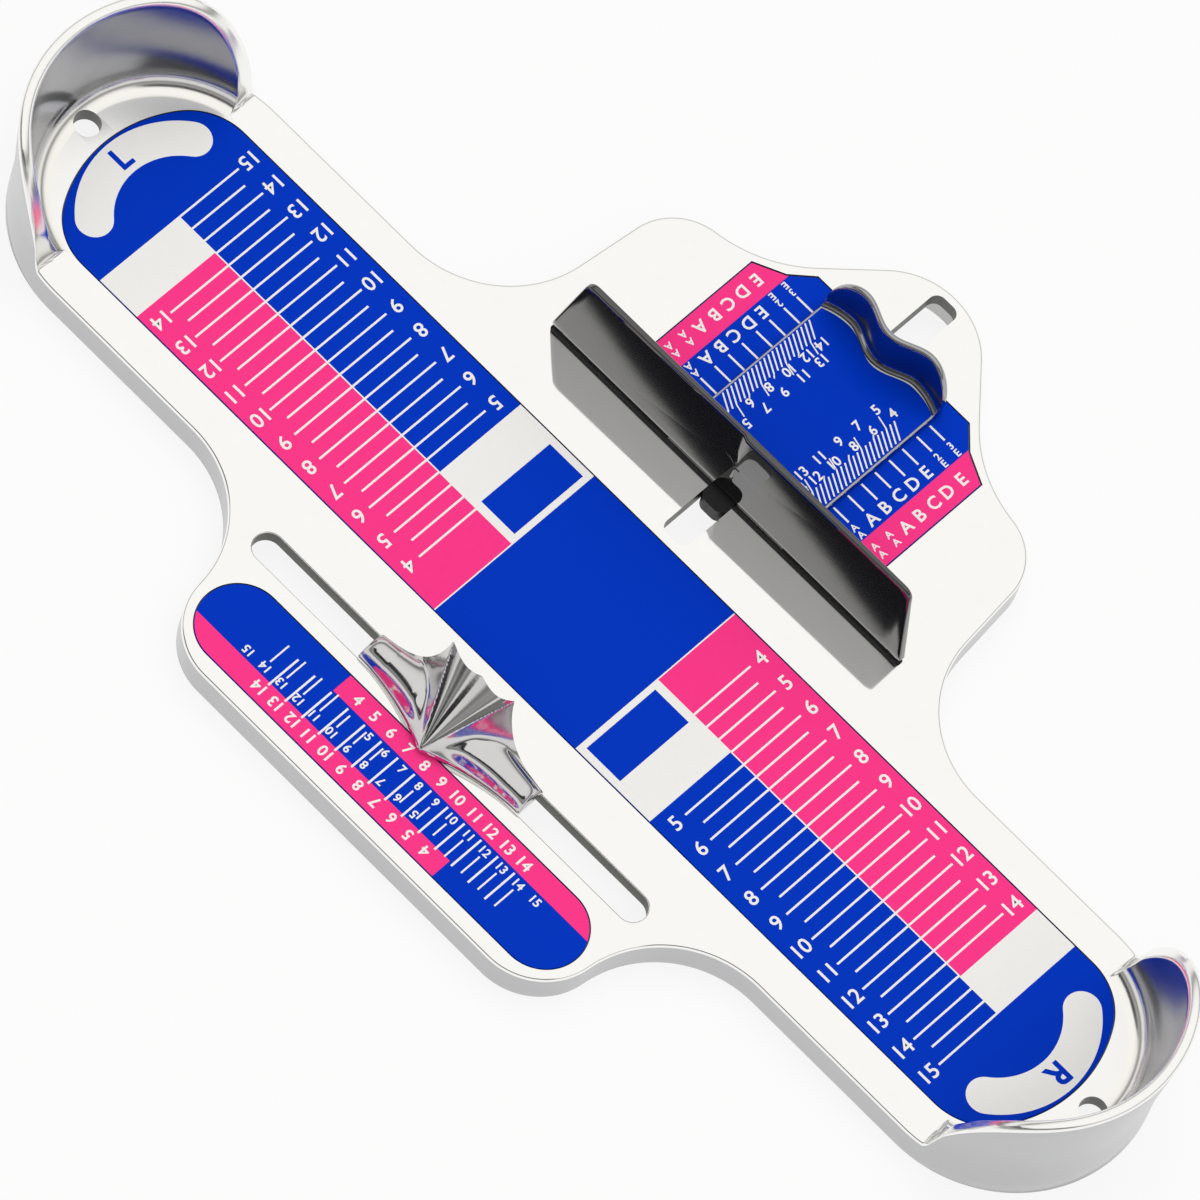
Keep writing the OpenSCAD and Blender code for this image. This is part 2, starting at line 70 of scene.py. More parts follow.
def smoothstep(a, b, x):
    t = min(1, max(0, (x - a) / (b - a)))
    return t * t * (3 - 2 * t)


class Solid:
    """Points and faces in millimetres, with a material number for each face."""

    def __init__(self):
        self.points = []
        self.faces = []
        self.materials = []

    def loop(self, points):
        start = len(self.points)
        self.points += [tuple(p) for p in points]
        return list(range(start, len(self.points)))

    def level(self, outline, z):
        """A loop at one height."""
        return self.loop([(x, y, z) for x, y in outline])

    def face(self, indexes, material=0):
        self.faces.append(indexes)
        self.materials.append(material)

    def band(self, a, b, material=0):
        """Joins two closed loops; material can be a list with a number for each face."""
        n = len(a)
        numbers = material if isinstance(material, list) else [material] * n
        for i in range(n):
            j = (i + 1) % n
            self.face((a[i], a[j], b[j], b[i]), numbers[i])

    def bands(self, rings):
        for a, b in zip(rings, rings[1:]):
            self.band(a, b)

    def fill(self, loops, material=0):
        """Fills the first loop; the other loops are holes in it."""
        flat = [i for loop in loops for i in loop]
        shapes = [[Vector(self.points[i]) for i in loop] for loop in loops]
        for triangle in tessellate_polygon(shapes):
            self.face(tuple(flat[i] for i in triangle), material)

    def close(self, rings):
        """Joins a row of rings and fills both its ends."""
        self.bands(rings)
        self.fill([rings[0]])
        self.fill([rings[-1]])

    def add(self, other, move=lambda p: p):
        start = len(self.points)
        self.points += [tuple(move(p)) for p in other.points]
        for face, number in zip(other.faces, other.materials):
            self.face(tuple(i + start for i in face), number)

    def mesh(self, name, sharp):
        mesh = bpy.data.meshes.new(name)
        mesh.from_pydata([place(p) for p in self.points], [], self.faces)
        mesh.polygons.foreach_set("material_index", self.materials)
        work = bmesh.new()
        work.from_mesh(mesh)
        bmesh.ops.remove_doubles(work, verts=work.verts, dist=MERGE)
        bmesh.ops.recalc_face_normals(work, faces=work.faces)
        work.to_mesh(mesh)
        work.free()
        mesh.polygons.foreach_set("use_smooth", [True] * len(mesh.polygons))
        mesh.set_sharp_from_angle(angle=radians(sharp))
        return mesh


def new_object(name, data):
    obj = bpy.data.objects.new(name, data)
    bpy.context.scene.collection.objects.link(obj)
    return obj


def evaluated(obj):
    """The mesh that an object's modifiers or text make."""
    bpy.context.view_layer.update()
    return bpy.data.meshes.new_from_object(obj.evaluated_get(bpy.context.evaluated_depsgraph_get()))


def piece(name, solid, materials, body, replaces=(), sharp=SHARP):
    """A mesh object that rides on a body."""
    obj = new_object(name, solid.mesh(name, sharp))
    for material in materials:
        obj.data.materials.append(material)
    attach(obj, body)
    if replaces:
        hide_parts(*replaces)
    return obj


def polar(c, r, angle):
    a = radians(angle)
    return c[0] + r * cos(a), c[1] + r * sin(a)


def arc(c, r, start, end, step=4.0):
    """Points of an arc, its angles and step in degrees."""
    n = max(2, round(abs(end - start) / step))
    return [polar(c, r, start + (end - start) * i / n) for i in range(n + 1)]


def mirrored(points):
    """The points across x = 0, in the opposite order."""
    return [(-x, y) for x, y in points[::-1]]


def shifted(points, d):
    """A closed outline moved outward by d; it runs anticlockwise."""
    out = []
    n = len(points)
    for i in range(n):
        (ax, ay), (bx, by), (cx, cy) = points[i - 1], points[i], points[(i + 1) % n]
        u = Vector((by - ay, ax - bx)).normalized()
        v = Vector((cy - by, bx - cx)).normalized()
        w = u + v
        w *= d / max(MITRE, w.dot(u))
        out.append((bx + w.x, by + w.y))
    return out


def clean(points):
    """The outline without repeated points, anticlockwise."""
    out = []
    for p in points:
        if not out or dist(p, out[-1]) > SAME:
            out.append(p)
    if dist(out[0], out[-1]) < SAME:
        out.pop()
    area = sum(out[i - 1][0] * out[i][1] - out[i][0] * out[i - 1][1] for i in range(len(out)))
    return out if area > 0 else out[::-1]


def prism(outline, low, high, edge=0.0):
    """A plate with that outline, its upper edge rounded by the radius edge."""
    solid = Solid()
    outline = clean(outline)
    levels = [(0.0, low)]
    for i in range(EDGE_STEPS if edge else 0, -1, -1):
        a = pi / 2 * i / EDGE_STEPS
        levels.append((-edge * (1 - sin(a)), high - edge * (1 - cos(a))))
    solid.close([solid.level(shifted(outline, d), z) for d, z in levels])
    return solid


def stadium(length, width, y):
    r = width / 2
    x = length / 2 - r
    return arc((x, y), r, -90, 90) + arc((-x, y), r, 90, 270)


def rectangle(x0, y0, x1, y1):
    return [(x0, y0), (x1, y0), (x1, y1), (x0, y1)]


# ---- materials

METAL = 1.0
PAINT = 0.0
MIX_FACTOR = 0  # sockets of a colour mix
MIX_A = 6
MIX_B = 7
MIX_RESULT = 2
COAT_ROUGH = 0.05
CLOUD_DETAIL = 6
GRAIN_DETAIL = 5
TINT_DETAIL = 4
TINT_SCALE = 7  # times finer than the roughness's noise
RELIEF = 0.0002  # metres


def add(tree, kind, inputs, output=0, **settings):
    """Adds a node and returns one of its outputs. Each input is a value, or an output to link."""
    node = tree.nodes.new(kind)
    for name, setting in settings.items():
        setattr(node, name, setting)
    for socket, value in inputs.items():
        if isinstance(value, bpy.types.NodeSocket):
            tree.links.new(value, node.inputs[socket])
        else:
            node.inputs[socket].default_value = value
    return node.outputs[output]


def add_noise(tree, where, scale, detail):
    return add(tree, "ShaderNodeTexNoise", {"Vector": where, "Scale": scale, "Detail": detail}, "Fac")


def add_axis(tree, where, axis):
    return add(tree, "ShaderNodeSeparateXYZ", {"Vector": where}, axis)


def add_range(tree, value, from_min=0, from_max=1, to_min=0, to_max=1):
    inputs = {"Value": value, "From Min": from_min, "From Max": from_max,
              "To Min": to_min, "To Max": to_max}
    return add(tree, "ShaderNodeMapRange", inputs, "Result")


def add_math(tree, operation, *values):
    return add(tree, "ShaderNodeMath", dict(enumerate(values)), operation=operation)


def add_mix(tree, factor, a, b):
    inputs = {MIX_FACTOR: factor, MIX_A: a, MIX_B: b}
    return add(tree, "ShaderNodeMix", inputs, MIX_RESULT, data_type="RGBA")


def material(name, color, metallic, roughness, noise, bump, tint,
             specular=0.5, coat=0.0, foot=None, ends=None):
    """Principled material whose roughness, colour and surface vary from place to place.
    noise is (scale, amount) of the roughness, bump (strength, scale), tint how much darker the
    colour gets. foot is (colour, low, high): the colour up to the height low, gone at high.
    ends is (from, to, roughness): roughness added towards both ends in x."""
    mat = bpy.data.materials.new(name)
    mat.use_nodes = True
    tree = mat.node_tree
    shader = tree.nodes["Principled BSDF"]
    fixed = {"Base Color": (*color, 1), "Metallic": metallic, "Specular IOR Level": specular,
             "Coat Weight": coat, "Coat Roughness": COAT_ROUGH}
    for socket, value in fixed.items():
        shader.inputs[socket].default_value = value
    where = add(tree, "ShaderNodeTexCoord", {}, "Object")

    scale, amount = noise
    cloud = add_noise(tree, where, scale, CLOUD_DETAIL)
    rough = add_range(tree, cloud, to_min=max(0.0, roughness - amount), to_max=roughness + amount)
    if ends:
        start, full, added = ends
        distance = add_math(tree, "ABSOLUTE", add_axis(tree, where, "X"))
        dull = add_range(tree, distance, start, full, to_max=added)
        rough = add_math(tree, "ADD", dull, rough)
    tree.links.new(rough, shader.inputs["Roughness"])

    darker = tuple(c * (1 - tint) for c in color)
    fine = add_noise(tree, where, scale * TINT_SCALE, TINT_DETAIL)
    shade = add_mix(tree, fine, (*color, 1), (*darker, 1))
    if foot:
        foot_color, low, high = foot
        height = add_range(tree, add_axis(tree, where, "Z"), low, high)
        shade = add_mix(tree, height, (*foot_color, 1), shade)
    tree.links.new(shade, shader.inputs["Base Color"])

    strength, bump_scale = bump
    grain = add_noise(tree, where, bump_scale, GRAIN_DETAIL)
    relief = add(tree, "ShaderNodeBump", {"Height": grain, "Strength": strength, "Distance": RELIEF},
                 "Normal")
    tree.links.new(relief, shader.inputs["Normal"])
    return mat


# Name, colour, metallic, roughness, noise, bump, tint
POLISHED = material("polished_aluminium", (0.955, 0.95, 0.935), METAL, 0.045, (25.0, 0.02),
                    (0.03, 60.0), 0.03, ends=(0.146, 0.151, 0.17))
# Sides of the casting: rougher than the top, and painted darker grey as shade and reflection.
SKIRT_PAINTED_SHADE = material("skirt_aluminium_painted_shade", (0.52, 0.52, 0.53), METAL, 0.24, (35.0, 0.06), (0.1, 160.0), 0.05)
# Cups' inner walls: the top's polished aluminium, rougher and painted darker as shade and reflection,
# fading to a pale cream near the floor.
CUP_PAINTED_SHADE = material("cup_aluminium_painted_shade", (0.38, 0.385, 0.41), METAL, 0.19, (40.0, 0.05), (0.35, 55.0), 0.12,
                     foot=((0.93, 0.915, 0.88), 0.0108, 0.0145))
CAST_METAL = material("polished_casting", (0.66, 0.655, 0.655), METAL, 0.12,
                      (60.0, 0.06), (0.2, 130.0), 0.06)
SLIDER_METAL = material("slider_metal", (0.40, 0.40, 0.41), METAL, 0.13, (50.0, 0.05), (0.1, 200.0), 0.04)
UNDERSIDE = material("cast_underside", (0.55, 0.55, 0.54), METAL, 0.42, (90.0, 0.1), (0.5, 700.0), 0.12)
BLUE = material("blue_enamel", (0.0, 0.038, 0.54), PAINT, 0.32, (80.0, 0.06), (0.05, 900.0), 0.05,
                specular=0.02)
PINK = material("pink_enamel", (1.0, 0.044, 0.264), PAINT, 0.32, (80.0, 0.06), (0.05, 900.0), 0.04,
                specular=0.02)
WHITE = material("white_print", (0.90, 0.885, 0.865), PAINT, 0.38, (80.0, 0.06), (0.05, 900.0), 0.03,
                 specular=0.05)
GLOSS_BLACK = material("gloss_black", (0.004, 0.004, 0.005), PAINT, 0.02, (30.0, 0.015), (0.02, 60.0), 0.1,
                       specular=0.9, coat=1.0)
# Walls and floors of the slots, plate recesses and heel holes: dark colour as painted shade.
SLOT_PAINTED_SHADE = material("slot_wall_painted_shade", (0.13, 0.13, 0.12), METAL, 0.4, (120.0, 0.1), (0.3, 500.0), 0.15)
NYLON = material("black_nylon", (0.012, 0.012, 0.013), PAINT, 0.42, (90.0, 0.08), (0.25, 900.0), 0.15,
                 specular=0.4)
STEEL = material("zinc_steel", (0.62, 0.63, 0.65), METAL, 0.28, (120.0, 0.08), (0.15, 600.0), 0.08)
SPRING = material("spring_steel", (0.42, 0.43, 0.46), METAL, 0.3, (140.0, 0.08), (0.1, 700.0), 0.1)


# ---- base's outline

# Circles and corners of the outline's right half
NOSE = (0, 106)
NOSE_R = 22
SHOULDER = (48.4, 80.5)
SHOULDER_R = 15.8
DIMPLE_R = 38  # hollow between nose and shoulder
DIMPLE_TURN = 82  # its direction from the shoulder, degrees
NECK = (95.8, 67.3)
LOW_NECK = (95.56, -67.3)
NECK_R = 30
CORNER = (47.8, -62.5)
CORNER_R = 18
HEEL_TURN = 60  # beyond it the heel has finer steps
STEP = 3.0
DIMPLE_STEP = 2
HEEL_STEP = 1.5
HEEL_FINE_STEP = 0.5


def rounded(c, r, start, end, side=1, step=STEP):
    """Contour points on an arc: (x, y, outward normal). side is -1 for a hollow."""
    n = max(2, round(abs(end - start) / step))
    out = []
    for i in range(n + 1):
        angle = start + (end - start) * i / n
        a = radians(angle)
        out.append((*polar(c, r, angle), side * cos(a), side * sin(a)))
    return out


def straight(a, b, normal):
    """Contour points between a and b, without the ends."""
    n = max(1, round(dist(a, b) / STEP))
    return [(a[0] + (b[0] - a[0]) * i / n, a[1] + (b[1] - a[1]) * i / n, *normal)
            for i in range(1, n)]


def direction(a, b):
    return atan2(b[1] - a[1], b[0] - a[0])


def leaving(a, a_r, b, b_r):
    """Where a line that crosses from circle a to circle b leaves a, in degrees."""
    return degrees(direction(a, b) + acos((a_r + b_r) / dist(a, b)))


def contour():
    """Right half of the outline, top to bottom: (x, y, outward normal)."""
    dimple = polar(SHOULDER, SHOULDER_R + DIMPLE_R, DIMPLE_TURN)
    flank = leaving(NOSE, NOSE_R, dimple, DIMPLE_R)
    side = leaving(SHOULDER, SHOULDER_R, NECK, NECK_R)
    meet = degrees(direction(CORNER, LOW_NECK))
    heel = (CUP_X, 0)
    return (
        rounded(NOSE, NOSE_R, 90, flank)
        + rounded(dimple, DIMPLE_R, 180 + flank, 180 + DIMPLE_TURN, -1, DIMPLE_STEP)
        + rounded(SHOULDER, SHOULDER_R, DIMPLE_TURN, side)
        + rounded(NECK, NECK_R, 180 + side, 270, -1)
        + straight((NECK[0], HEEL_R), (CUP_X, HEEL_R), (0, 1))
        + rounded(heel, HEEL_R, 90, HEEL_TURN, step=HEEL_FINE_STEP)
        + rounded(heel, HEEL_R, HEEL_TURN, -HEEL_TURN, step=HEEL_STEP)[1:-1]
        + rounded(heel, HEEL_R, -HEEL_TURN, -90, step=HEEL_FINE_STEP)
        + straight((CUP_X, -HEEL_R), (LOW_NECK[0], -HEEL_R), (0, -1))
        + rounded(LOW_NECK, NECK_R, 90, 180 + meet, -1)
        + rounded(CORNER, CORNER_R, meet, -90)
    )


# ---- base's profile

CUP_START = 149  # x where a cup's rim begins
CUP_RUN = 33.3
CUP_H = 33
CUP_POWER = 3.4
CUP_EASE = (-0.03, 0.12)

SKIRT = 3.0
SLOT_THIN = 0.7  # less skirt where the width slot ends in it
RELIEF_X = (5, 10)
RELIEF_Y = 100
FOOT = 0.4  # chamfer inside the skirt's foot
FOOT_R = 0.5  # round outside it
FOOT_MID = 0.15
LEAN_OUT = 2.0  # of a cup's outer face, above LEAN_FROM
LEAN_FROM = 16.5
LEAN_RUN = 26.5

WALL = 4.7  # of a cup, above the fillet in its floor
FILLET = 5.0
RIM_R = 1.2
FLOOR_INSET = WALL + FILLET
TAPER = 3.7  # less wall, TAPER_RUN above the fillet
TAPER_RUN = 28
FLAT_INSET = 1.9  # of the flat top, away from the cups
FLOOR_X = (122, 147)  # where it moves in to the cup's floor
CORNER_BACK = 0.8
RISEN = 0.01
RIM_FULL = 4  # height from which the rim is fully rounded
LOW_RIM_R = 1.0
LOW_RIM_GAIN = 0.05
INNER_SHARE = 0.25

SETTLE = 30  # rounds to find the rim's corner
SIDE_RINGS = 8
ROUND_STEPS = 5
WALL_STEPS = 12
FILLET_STEPS = 24
INNER_RINGS = 30
INNER_POWER = 0.9
CORNER_SHARE = 0.3
LEAST = 0.02
TINY = 1e-9


def rise(x):
    """Height of a cup's rim above the plate."""
    t = min(1, max(0, (abs(x) - CUP_START) / CUP_RUN))
    return CUP_H * (1 - (1 - t) ** CUP_POWER) * smoothstep(*CUP_EASE, t)


def bezier(a, b, c, n):
    out = []
    for i in range(n + 1):
        t = i / n
        out.append(tuple((1 - t) ** 2 * p + 2 * t * (1 - t) * q + t * t * r
                         for p, q, r in zip(a, b, c)))
    return out


def outside(z):
    """Inset of the outer face, which leans outward on a cup."""
    return -LEAN_OUT * max(0, z - LEAN_FROM) / LEAN_RUN


def wall_inset(z):
    """Inset of a cup's inner face above the fillet."""
    return WALL - TAPER * max(0, z - TOP - FILLET) / TAPER_RUN


def rim_corner(crest):
    """Inset where a cup's inner face meets its crest."""
    inset = FILLET
    for _ in range(SETTLE):
        z = crest(inset)
        if z > TOP + FILLET:
            found = wall_inset(z)
        else:
            found = FLOOR_INSET - FILLET * cos(asin((TOP + FILLET - z) / FILLET))
        inset = 0.5 * inset + 0.5 * found
    return inset


def inner_path(corner, peak, end, risen):
    """Inner side, from the rim's corner down the wall and the fillet to the flat top."""
    path = [(corner, peak)]
    if peak > TOP + FILLET:
        for i in range(1, WALL_STEPS + 1):
            z = peak + (TOP + FILLET - peak) * i / WALL_STEPS
            path.append((wall_inset(z), z))
        start = 0.0
    else:
        start = degrees(asin(min(1, (TOP + FILLET - peak) / FILLET)))
    if risen and start < 89:
        for i in range(1, FILLET_STEPS + 1):
            a = radians(start + (90 - start) * i / FILLET_STEPS)
            path.append((FLOOR_INSET - FILLET * cos(a), TOP + FILLET - FILLET * sin(a)))
    path.append((end, TOP))
    return path


def along(path, lengths, d):
    """The point at the distance d along the path."""
    k = 1
    while d > lengths[k] and k < len(path) - 1:
        k += 1
    span = max(TINY, lengths[k] - lengths[k - 1])
    t = min(1, (d - lengths[k - 1]) / span)
    return tuple(p + (q - p) * t for p, q in zip(path[k - 1], path[k]))


def skirt_side(x, y, top_z):
    """From inside the skirt, round its foot and up the outside to top_z."""
    skirt = SKIRT
    if y > RELIEF_Y:
        skirt -= SLOT_THIN * (1 - smoothstep(*RELIEF_X, abs(x)))
    heights = [FOOT_R + (top_z - FOOT_R) * i / SIDE_RINGS for i in range(1, SIDE_RINGS + 1)]
    return [(skirt, UNDER), (skirt, FOOT), (skirt - FOOT, 0.0), (FOOT_R, 0.0), (FOOT_MID, FOOT_MID),
            (0.0, FOOT_R)] + [(outside(z), z) for z in heights]


def section(x, y, nx):
    """Profile through the edge at one contour point: (inset, height) from the inside of
    the skirt, round the outside and over the rim, to the flat top."""
    def crest(inset):
        return TOP + rise(abs(x) - abs(nx) * inset)

    end = FLAT_INSET + (FLOOR_INSET - FLAT_INSET) * smoothstep(*FLOOR_X, abs(x))
    outer = crest(0)
    risen = outer > TOP + RISEN
    corner = end - CORNER_BACK
    if risen:
        corner = min(corner, rim_corner(crest))
    peak = crest(corner)
    radius = RIM_R if outer > TOP + RIM_FULL else LOW_RIM_R + LOW_RIM_GAIN * (outer - TOP)
    inner_r = min(RIM_R, INNER_SHARE * (peak - TOP))

    top_z = outer - radius
    a = (outside(top_z), top_z)
    b = (outside(outer), outer)
    c = (b[0] + radius, crest(b[0] + radius))
    profile = skirt_side(x, y, top_z) + bezier(a, b, c, ROUND_STEPS)[1:]

    path = inner_path(corner, peak, end, risen)
    lengths = list(accumulate((dist(p, q) for p, q in zip(path, path[1:])), initial=0.0))
    total = lengths[-1]
    back = max(LEAST, min(inner_r, total * CORNER_SHARE))
    before = (corner - back, crest(corner - back))
    middle = (c[0] + before[0]) / 2
    profile.append((middle, crest(middle)))
    profile += bezier(before, path[0], along(path, lengths, back), ROUND_STEPS)
    profile += [along(path, lengths, back + (total - back) * (i / INNER_RINGS) ** INNER_POWER)
                for i in range(1, INNER_RINGS + 1)]
    return profile


# ---- recesses and slots of the base

# Numbers of the base's materials
PLATE_FACE, UNDER_FACE, CUP_SHADE_FACE, SKIRT_SHADE_FACE, SLOT_SHADE_FACE = range(5)
UNDER_RINGS = 2
SKIRT_RINGS = 13
CUP_EDGE = 0.6  # rise where the cup's darker colour, painted shade, begins

SCALE_LENGTH = 163.6  # half
SCALE_WIDTH = 27  # half
SCALE_END_R = 36
SCALE_CORNER_R = 17
RECESS_GAP = 0.3
ARCH_RECESS = (124.6, 22.6)
ARCH_PLATE = (124, 22)
ARCH_Y = -65.0  # middle of the arch plate

ARCH_SLOT = (130.6, 8)
ARCH_SLOT_Y = -45.5
SLOT_X = 4  # half of the width slot
SLOT_R = 2.5
SLOT_FAR = 125.5
SLOT_MIDDLE = 77.5
MOUTH_FAR = 106.3  # where the letter recess opens into the slot
HOLE_EDGE = 0.35
HOLE_R = 3.5
HOLE_CUT = 30
BASE_SHARP = 32

# The letter plate beside the slot
LETTER_X = 39
LETTER_NEAR = 49
LETTER_SIDE = 96.5
LETTER_BEND = (8, 100.5)  # from LETTER_X, and y
LETTER_TURN = (13.5, 106)


def scale_outline(gap=0.0):
    length = SCALE_LENGTH + gap
    width = SCALE_WIDTH + gap
    end_r = SCALE_END_R + gap
    corner_r = SCALE_CORNER_R + gap
    end_x = length - end_r
    cy = width - corner_r
    cx = end_x + sqrt((end_r - corner_r) ** 2 - cy ** 2)
    meet = degrees(atan2(cy, cx - end_x))
    quarter = arc((end_x, 0), end_r, 0, meet, 2) + arc((cx, cy), corner_r, meet, 90, 3)[1:]
    half = quarter + mirrored(quarter)
    return clean(half + [(-x, -y) for x, y in half])


def letter_side(inner_x, gap=0.0):
    """Outline of the right-hand letter plate, or of its recess."""
    side = LETTER_X + gap
    near = LETTER_NEAR - gap
    far = LETTER_TURN[1] + gap
    return [(inner_x, near), (side, near), (side, LETTER_SIDE + gap),
            (side - LETTER_BEND[0], LETTER_BEND[1] + gap), (side - LETTER_TURN[0], far), (inner_x, far)]


def slot_ends():
    """The width slot's two ends, each from the letter recess round and back."""
    x = SLOT_X - SLOT_R
    y = SLOT_FAR - SLOT_R
    far = [(SLOT_X, MOUTH_FAR), *arc((x, y), SLOT_R, 0, 90, 10),
           *arc((-x, y), SLOT_R, 90, 180, 10), (-SLOT_X, MOUTH_FAR)]
    return far, [(-x, 2 * SLOT_MIDDLE - y) for x, y in far]


def add_hole(solid, outline):
    """A through slot with a rounded edge; returns its mouth and its lower end."""
    outline = clean(outline)
    loops = []
    for i in range(EDGE_STEPS + 1):
        a = pi / 2 * i / EDGE_STEPS
        around = shifted(outline, HOLE_EDGE * (1 - sin(a)))
        loops.append(solid.level(around, TOP - HOLE_EDGE * (1 - cos(a))))
    solid.bands(loops)
    low = solid.level(outline, UNDER)
    # The slot's walls below the rounded edge are painted dark as shade.
    solid.band(loops[-1], low, SLOT_SHADE_FACE)
    return loops[0], low


def add_recess(solid, outline):
    """A recess for a printed plate; returns its mouth."""
    outline = clean(outline)
    mouth = solid.level(outline, TOP)
    floor = solid.level(outline, PLATE_LOW)
    # The recess's walls and floor are painted dark as shade.
    solid.band(mouth, floor, SLOT_SHADE_FACE)
    solid.fill([floor], SLOT_SHADE_FACE)
    return mouth


def spot(p):
    """Finds the same place in two outlines."""
    return round(p[0], 4), round(p[1], 4)


def add_width_slot(solid):
    """The width slot and the letter recess; returns their mouth and the slot's lower end."""
    far, near = slot_ends()
    right = letter_side(SLOT_X, RECESS_GAP)
    left = mirrored(right)
    mouth_2d = clean(far + left[1:-1] + near + right[1:-1])
    mouth = solid.level(mouth_2d, TOP)
    slot_2d = clean(far + near)
    low = solid.level(slot_2d, UNDER)
    upper = {spot(p): i for p, i in zip(mouth_2d, mouth)}
    ledge = {}
    # The ledges under the letter plates and the slot's walls are painted dark as shade.
    for side in (right, left):
        ring = solid.level(side, PLATE_LOW)
        solid.fill([ring], SLOT_SHADE_FACE)
        ledge.update({spot(p): i for p, i in zip(side, ring)})
        for p, q in zip(side, side[1:]):
            a, b = spot(p), spot(q)
            if a in upper and b in upper:
                solid.face((upper[a], upper[b], ledge[b], ledge[a]), SLOT_SHADE_FACE)
    for i in range(len(slot_2d)):
        j = (i + 1) % len(slot_2d)
        a, b = spot(slot_2d[i]), spot(slot_2d[j])
        edge = [ledge.get(a), upper[a], upper[b], ledge.get(b)]
        if a in ledge and b in ledge:
            edge = [ledge[a], ledge[b]]
        solid.face((*[k for k in edge if k is not None], low[j], low[i]), SLOT_SHADE_FACE)
    return mouth, low


def build_base():
    half = contour()
    outline = half + [(-x, y, -nx, ny) for x, y, nx, ny in half[-2:0:-1]]
    sections = [section(x, y, nx) for x, y, nx, ny in outline]
    solid = Solid()
    rings = []
    for k in range(len(sections[0])):
        rings.append(solid.loop([(x - nx * s[k][0], y - ny * s[k][0], s[k][1])
                                 for (x, y, nx, ny), s in zip(outline, sections)]))
    inner = len(rings) - INNER_RINGS - 1
    # The cups' inner faces take the darker cup colour: painted shade.
    cup_shade_faces = [CUP_SHADE_FACE if rise(x) > CUP_EDGE else PLATE_FACE for x, y, nx, ny in outline]
    # The skirt's rings take the darker skirt colour: painted shade.
    for k, (a, b) in enumerate(zip(rings, rings[1:])):
        if k < UNDER_RINGS:
            solid.band(a, b, UNDER_FACE)
        elif k < SKIRT_RINGS:
            solid.band(a, b, SKIRT_SHADE_FACE)
        else:
            solid.band(a, b, PLATE_FACE if k < inner else cup_shade_faces)
    arch_mouth, arch_low = add_hole(solid, stadium(*ARCH_SLOT, ARCH_SLOT_Y))
    scale_mouth = add_recess(solid, scale_outline(RECESS_GAP))
    plate_mouth = add_recess(solid, stadium(*ARCH_RECESS, ARCH_Y))
    width_mouth, width_low = add_width_slot(solid)
    solid.fill([rings[-1], arch_mouth, scale_mouth, plate_mouth, width_mouth])
    solid.fill([rings[0], arch_low, width_low], UNDER_FACE)
    return solid


def bore_holes(obj):
    """Cuts the round hole in the floor of each heel cup."""
    cutter = new_object("cutter", bpy.data.meshes.new("cutter"))
    work = bmesh.new()
    for side in (-1, 1):
        middle = Matrix.Translation(place((side * HOLE_X, 0, 9)))
        bmesh.ops.create_cone(work, cap_ends=True, segments=72, radius1=HOLE_R / MM,
                              radius2=HOLE_R / MM, depth=HOLE_CUT / MM, matrix=middle)
    work.to_mesh(cutter.data)
    work.free()
    cut = obj.modifiers.new("holes", "BOOLEAN")
    cut.object = cutter
    cut.solver = "EXACT"
    done = evaluated(obj)
    obj.modifiers.clear()
    obj.data = done
    bpy.data.objects.remove(cutter)
    axes = [place((side * HOLE_X, 0, 0)) for side in (-1, 1)]
    # The hole's walls get the dark slot colour: painted shade.
    reach = (HOLE_R + 0.1) / MM
    for face in done.polygons:
        upright = abs(face.normal.z) < 0.1
        if upright and min((face.center - a).xy.length for a in axes) < reach:
            face.material_index = SLOT_SHADE_FACE
    done.set_sharp_from_angle(angle=radians(BASE_SHARP))


base = piece("base_casting", build_base(), [POLISHED, UNDERSIDE, CUP_PAINTED_SHADE, SKIRT_PAINTED_SHADE, SLOT_PAINTED_SHADE],
             "base", ["base"], sharp=BASE_SHARP)
bore_holes(base)


# ---- printing

INK = 0.03  # thickness of a printed area
OVER = 0.002  # lifts print that crosses other print
LINE = 0.55
BOLD = 0.02
FONT_HEIGHT = 0.73  # of a capital in a font of size 1
GLYPHS = {}


def patch(solid, outline, z):
    """A thin printed area."""
    solid.add(prism(outline, z, z + INK))


def line(solid, a, b, width, z):
    d = Vector((b[0] - a[0], b[1] - a[1])).normalized() * (width / 2)
    n = (-d.y, d.x)
    patch(solid, [(a[0] - n[0], a[1] - n[1]), (b[0] - n[0], b[1] - n[1]),
                  (b[0] + n[0], b[1] + n[1]), (a[0] + n[0], a[1] + n[1])], z)


def glyph(text, bold):
    """Text as a flat solid one unit high, centred on its own middle."""
    if (text, bold) in GLYPHS:
        return GLYPHS[(text, bold)]
    curve = bpy.data.curves.new("glyph", "FONT")
    curve.body = text
    curve.offset = bold
    curve.resolution_u = 3
    curve.fill_mode = "BOTH"
    curve.extrude = 0.5
    obj = new_object("glyph", curve)
    mesh = evaluated(obj)
    points = [v.co.copy() for v in mesh.vertices]
    low = Vector((min(p.x for p in points), min(p.y for p in points), 0))
    high = Vector((max(p.x for p in points), max(p.y for p in points), 0))
    middle = (low + high) / 2
    solid = Solid()
    solid.points = [((p.x - middle.x) / FONT_HEIGHT, (p.y - middle.y) / FONT_HEIGHT, p.z) for p in points]
    solid.faces = [tuple(f.vertices) for f in mesh.polygons]
    solid.materials = [0] * len(solid.faces)
    bpy.data.objects.remove(obj)
    GLYPHS[(text, bold)] = solid
    return solid


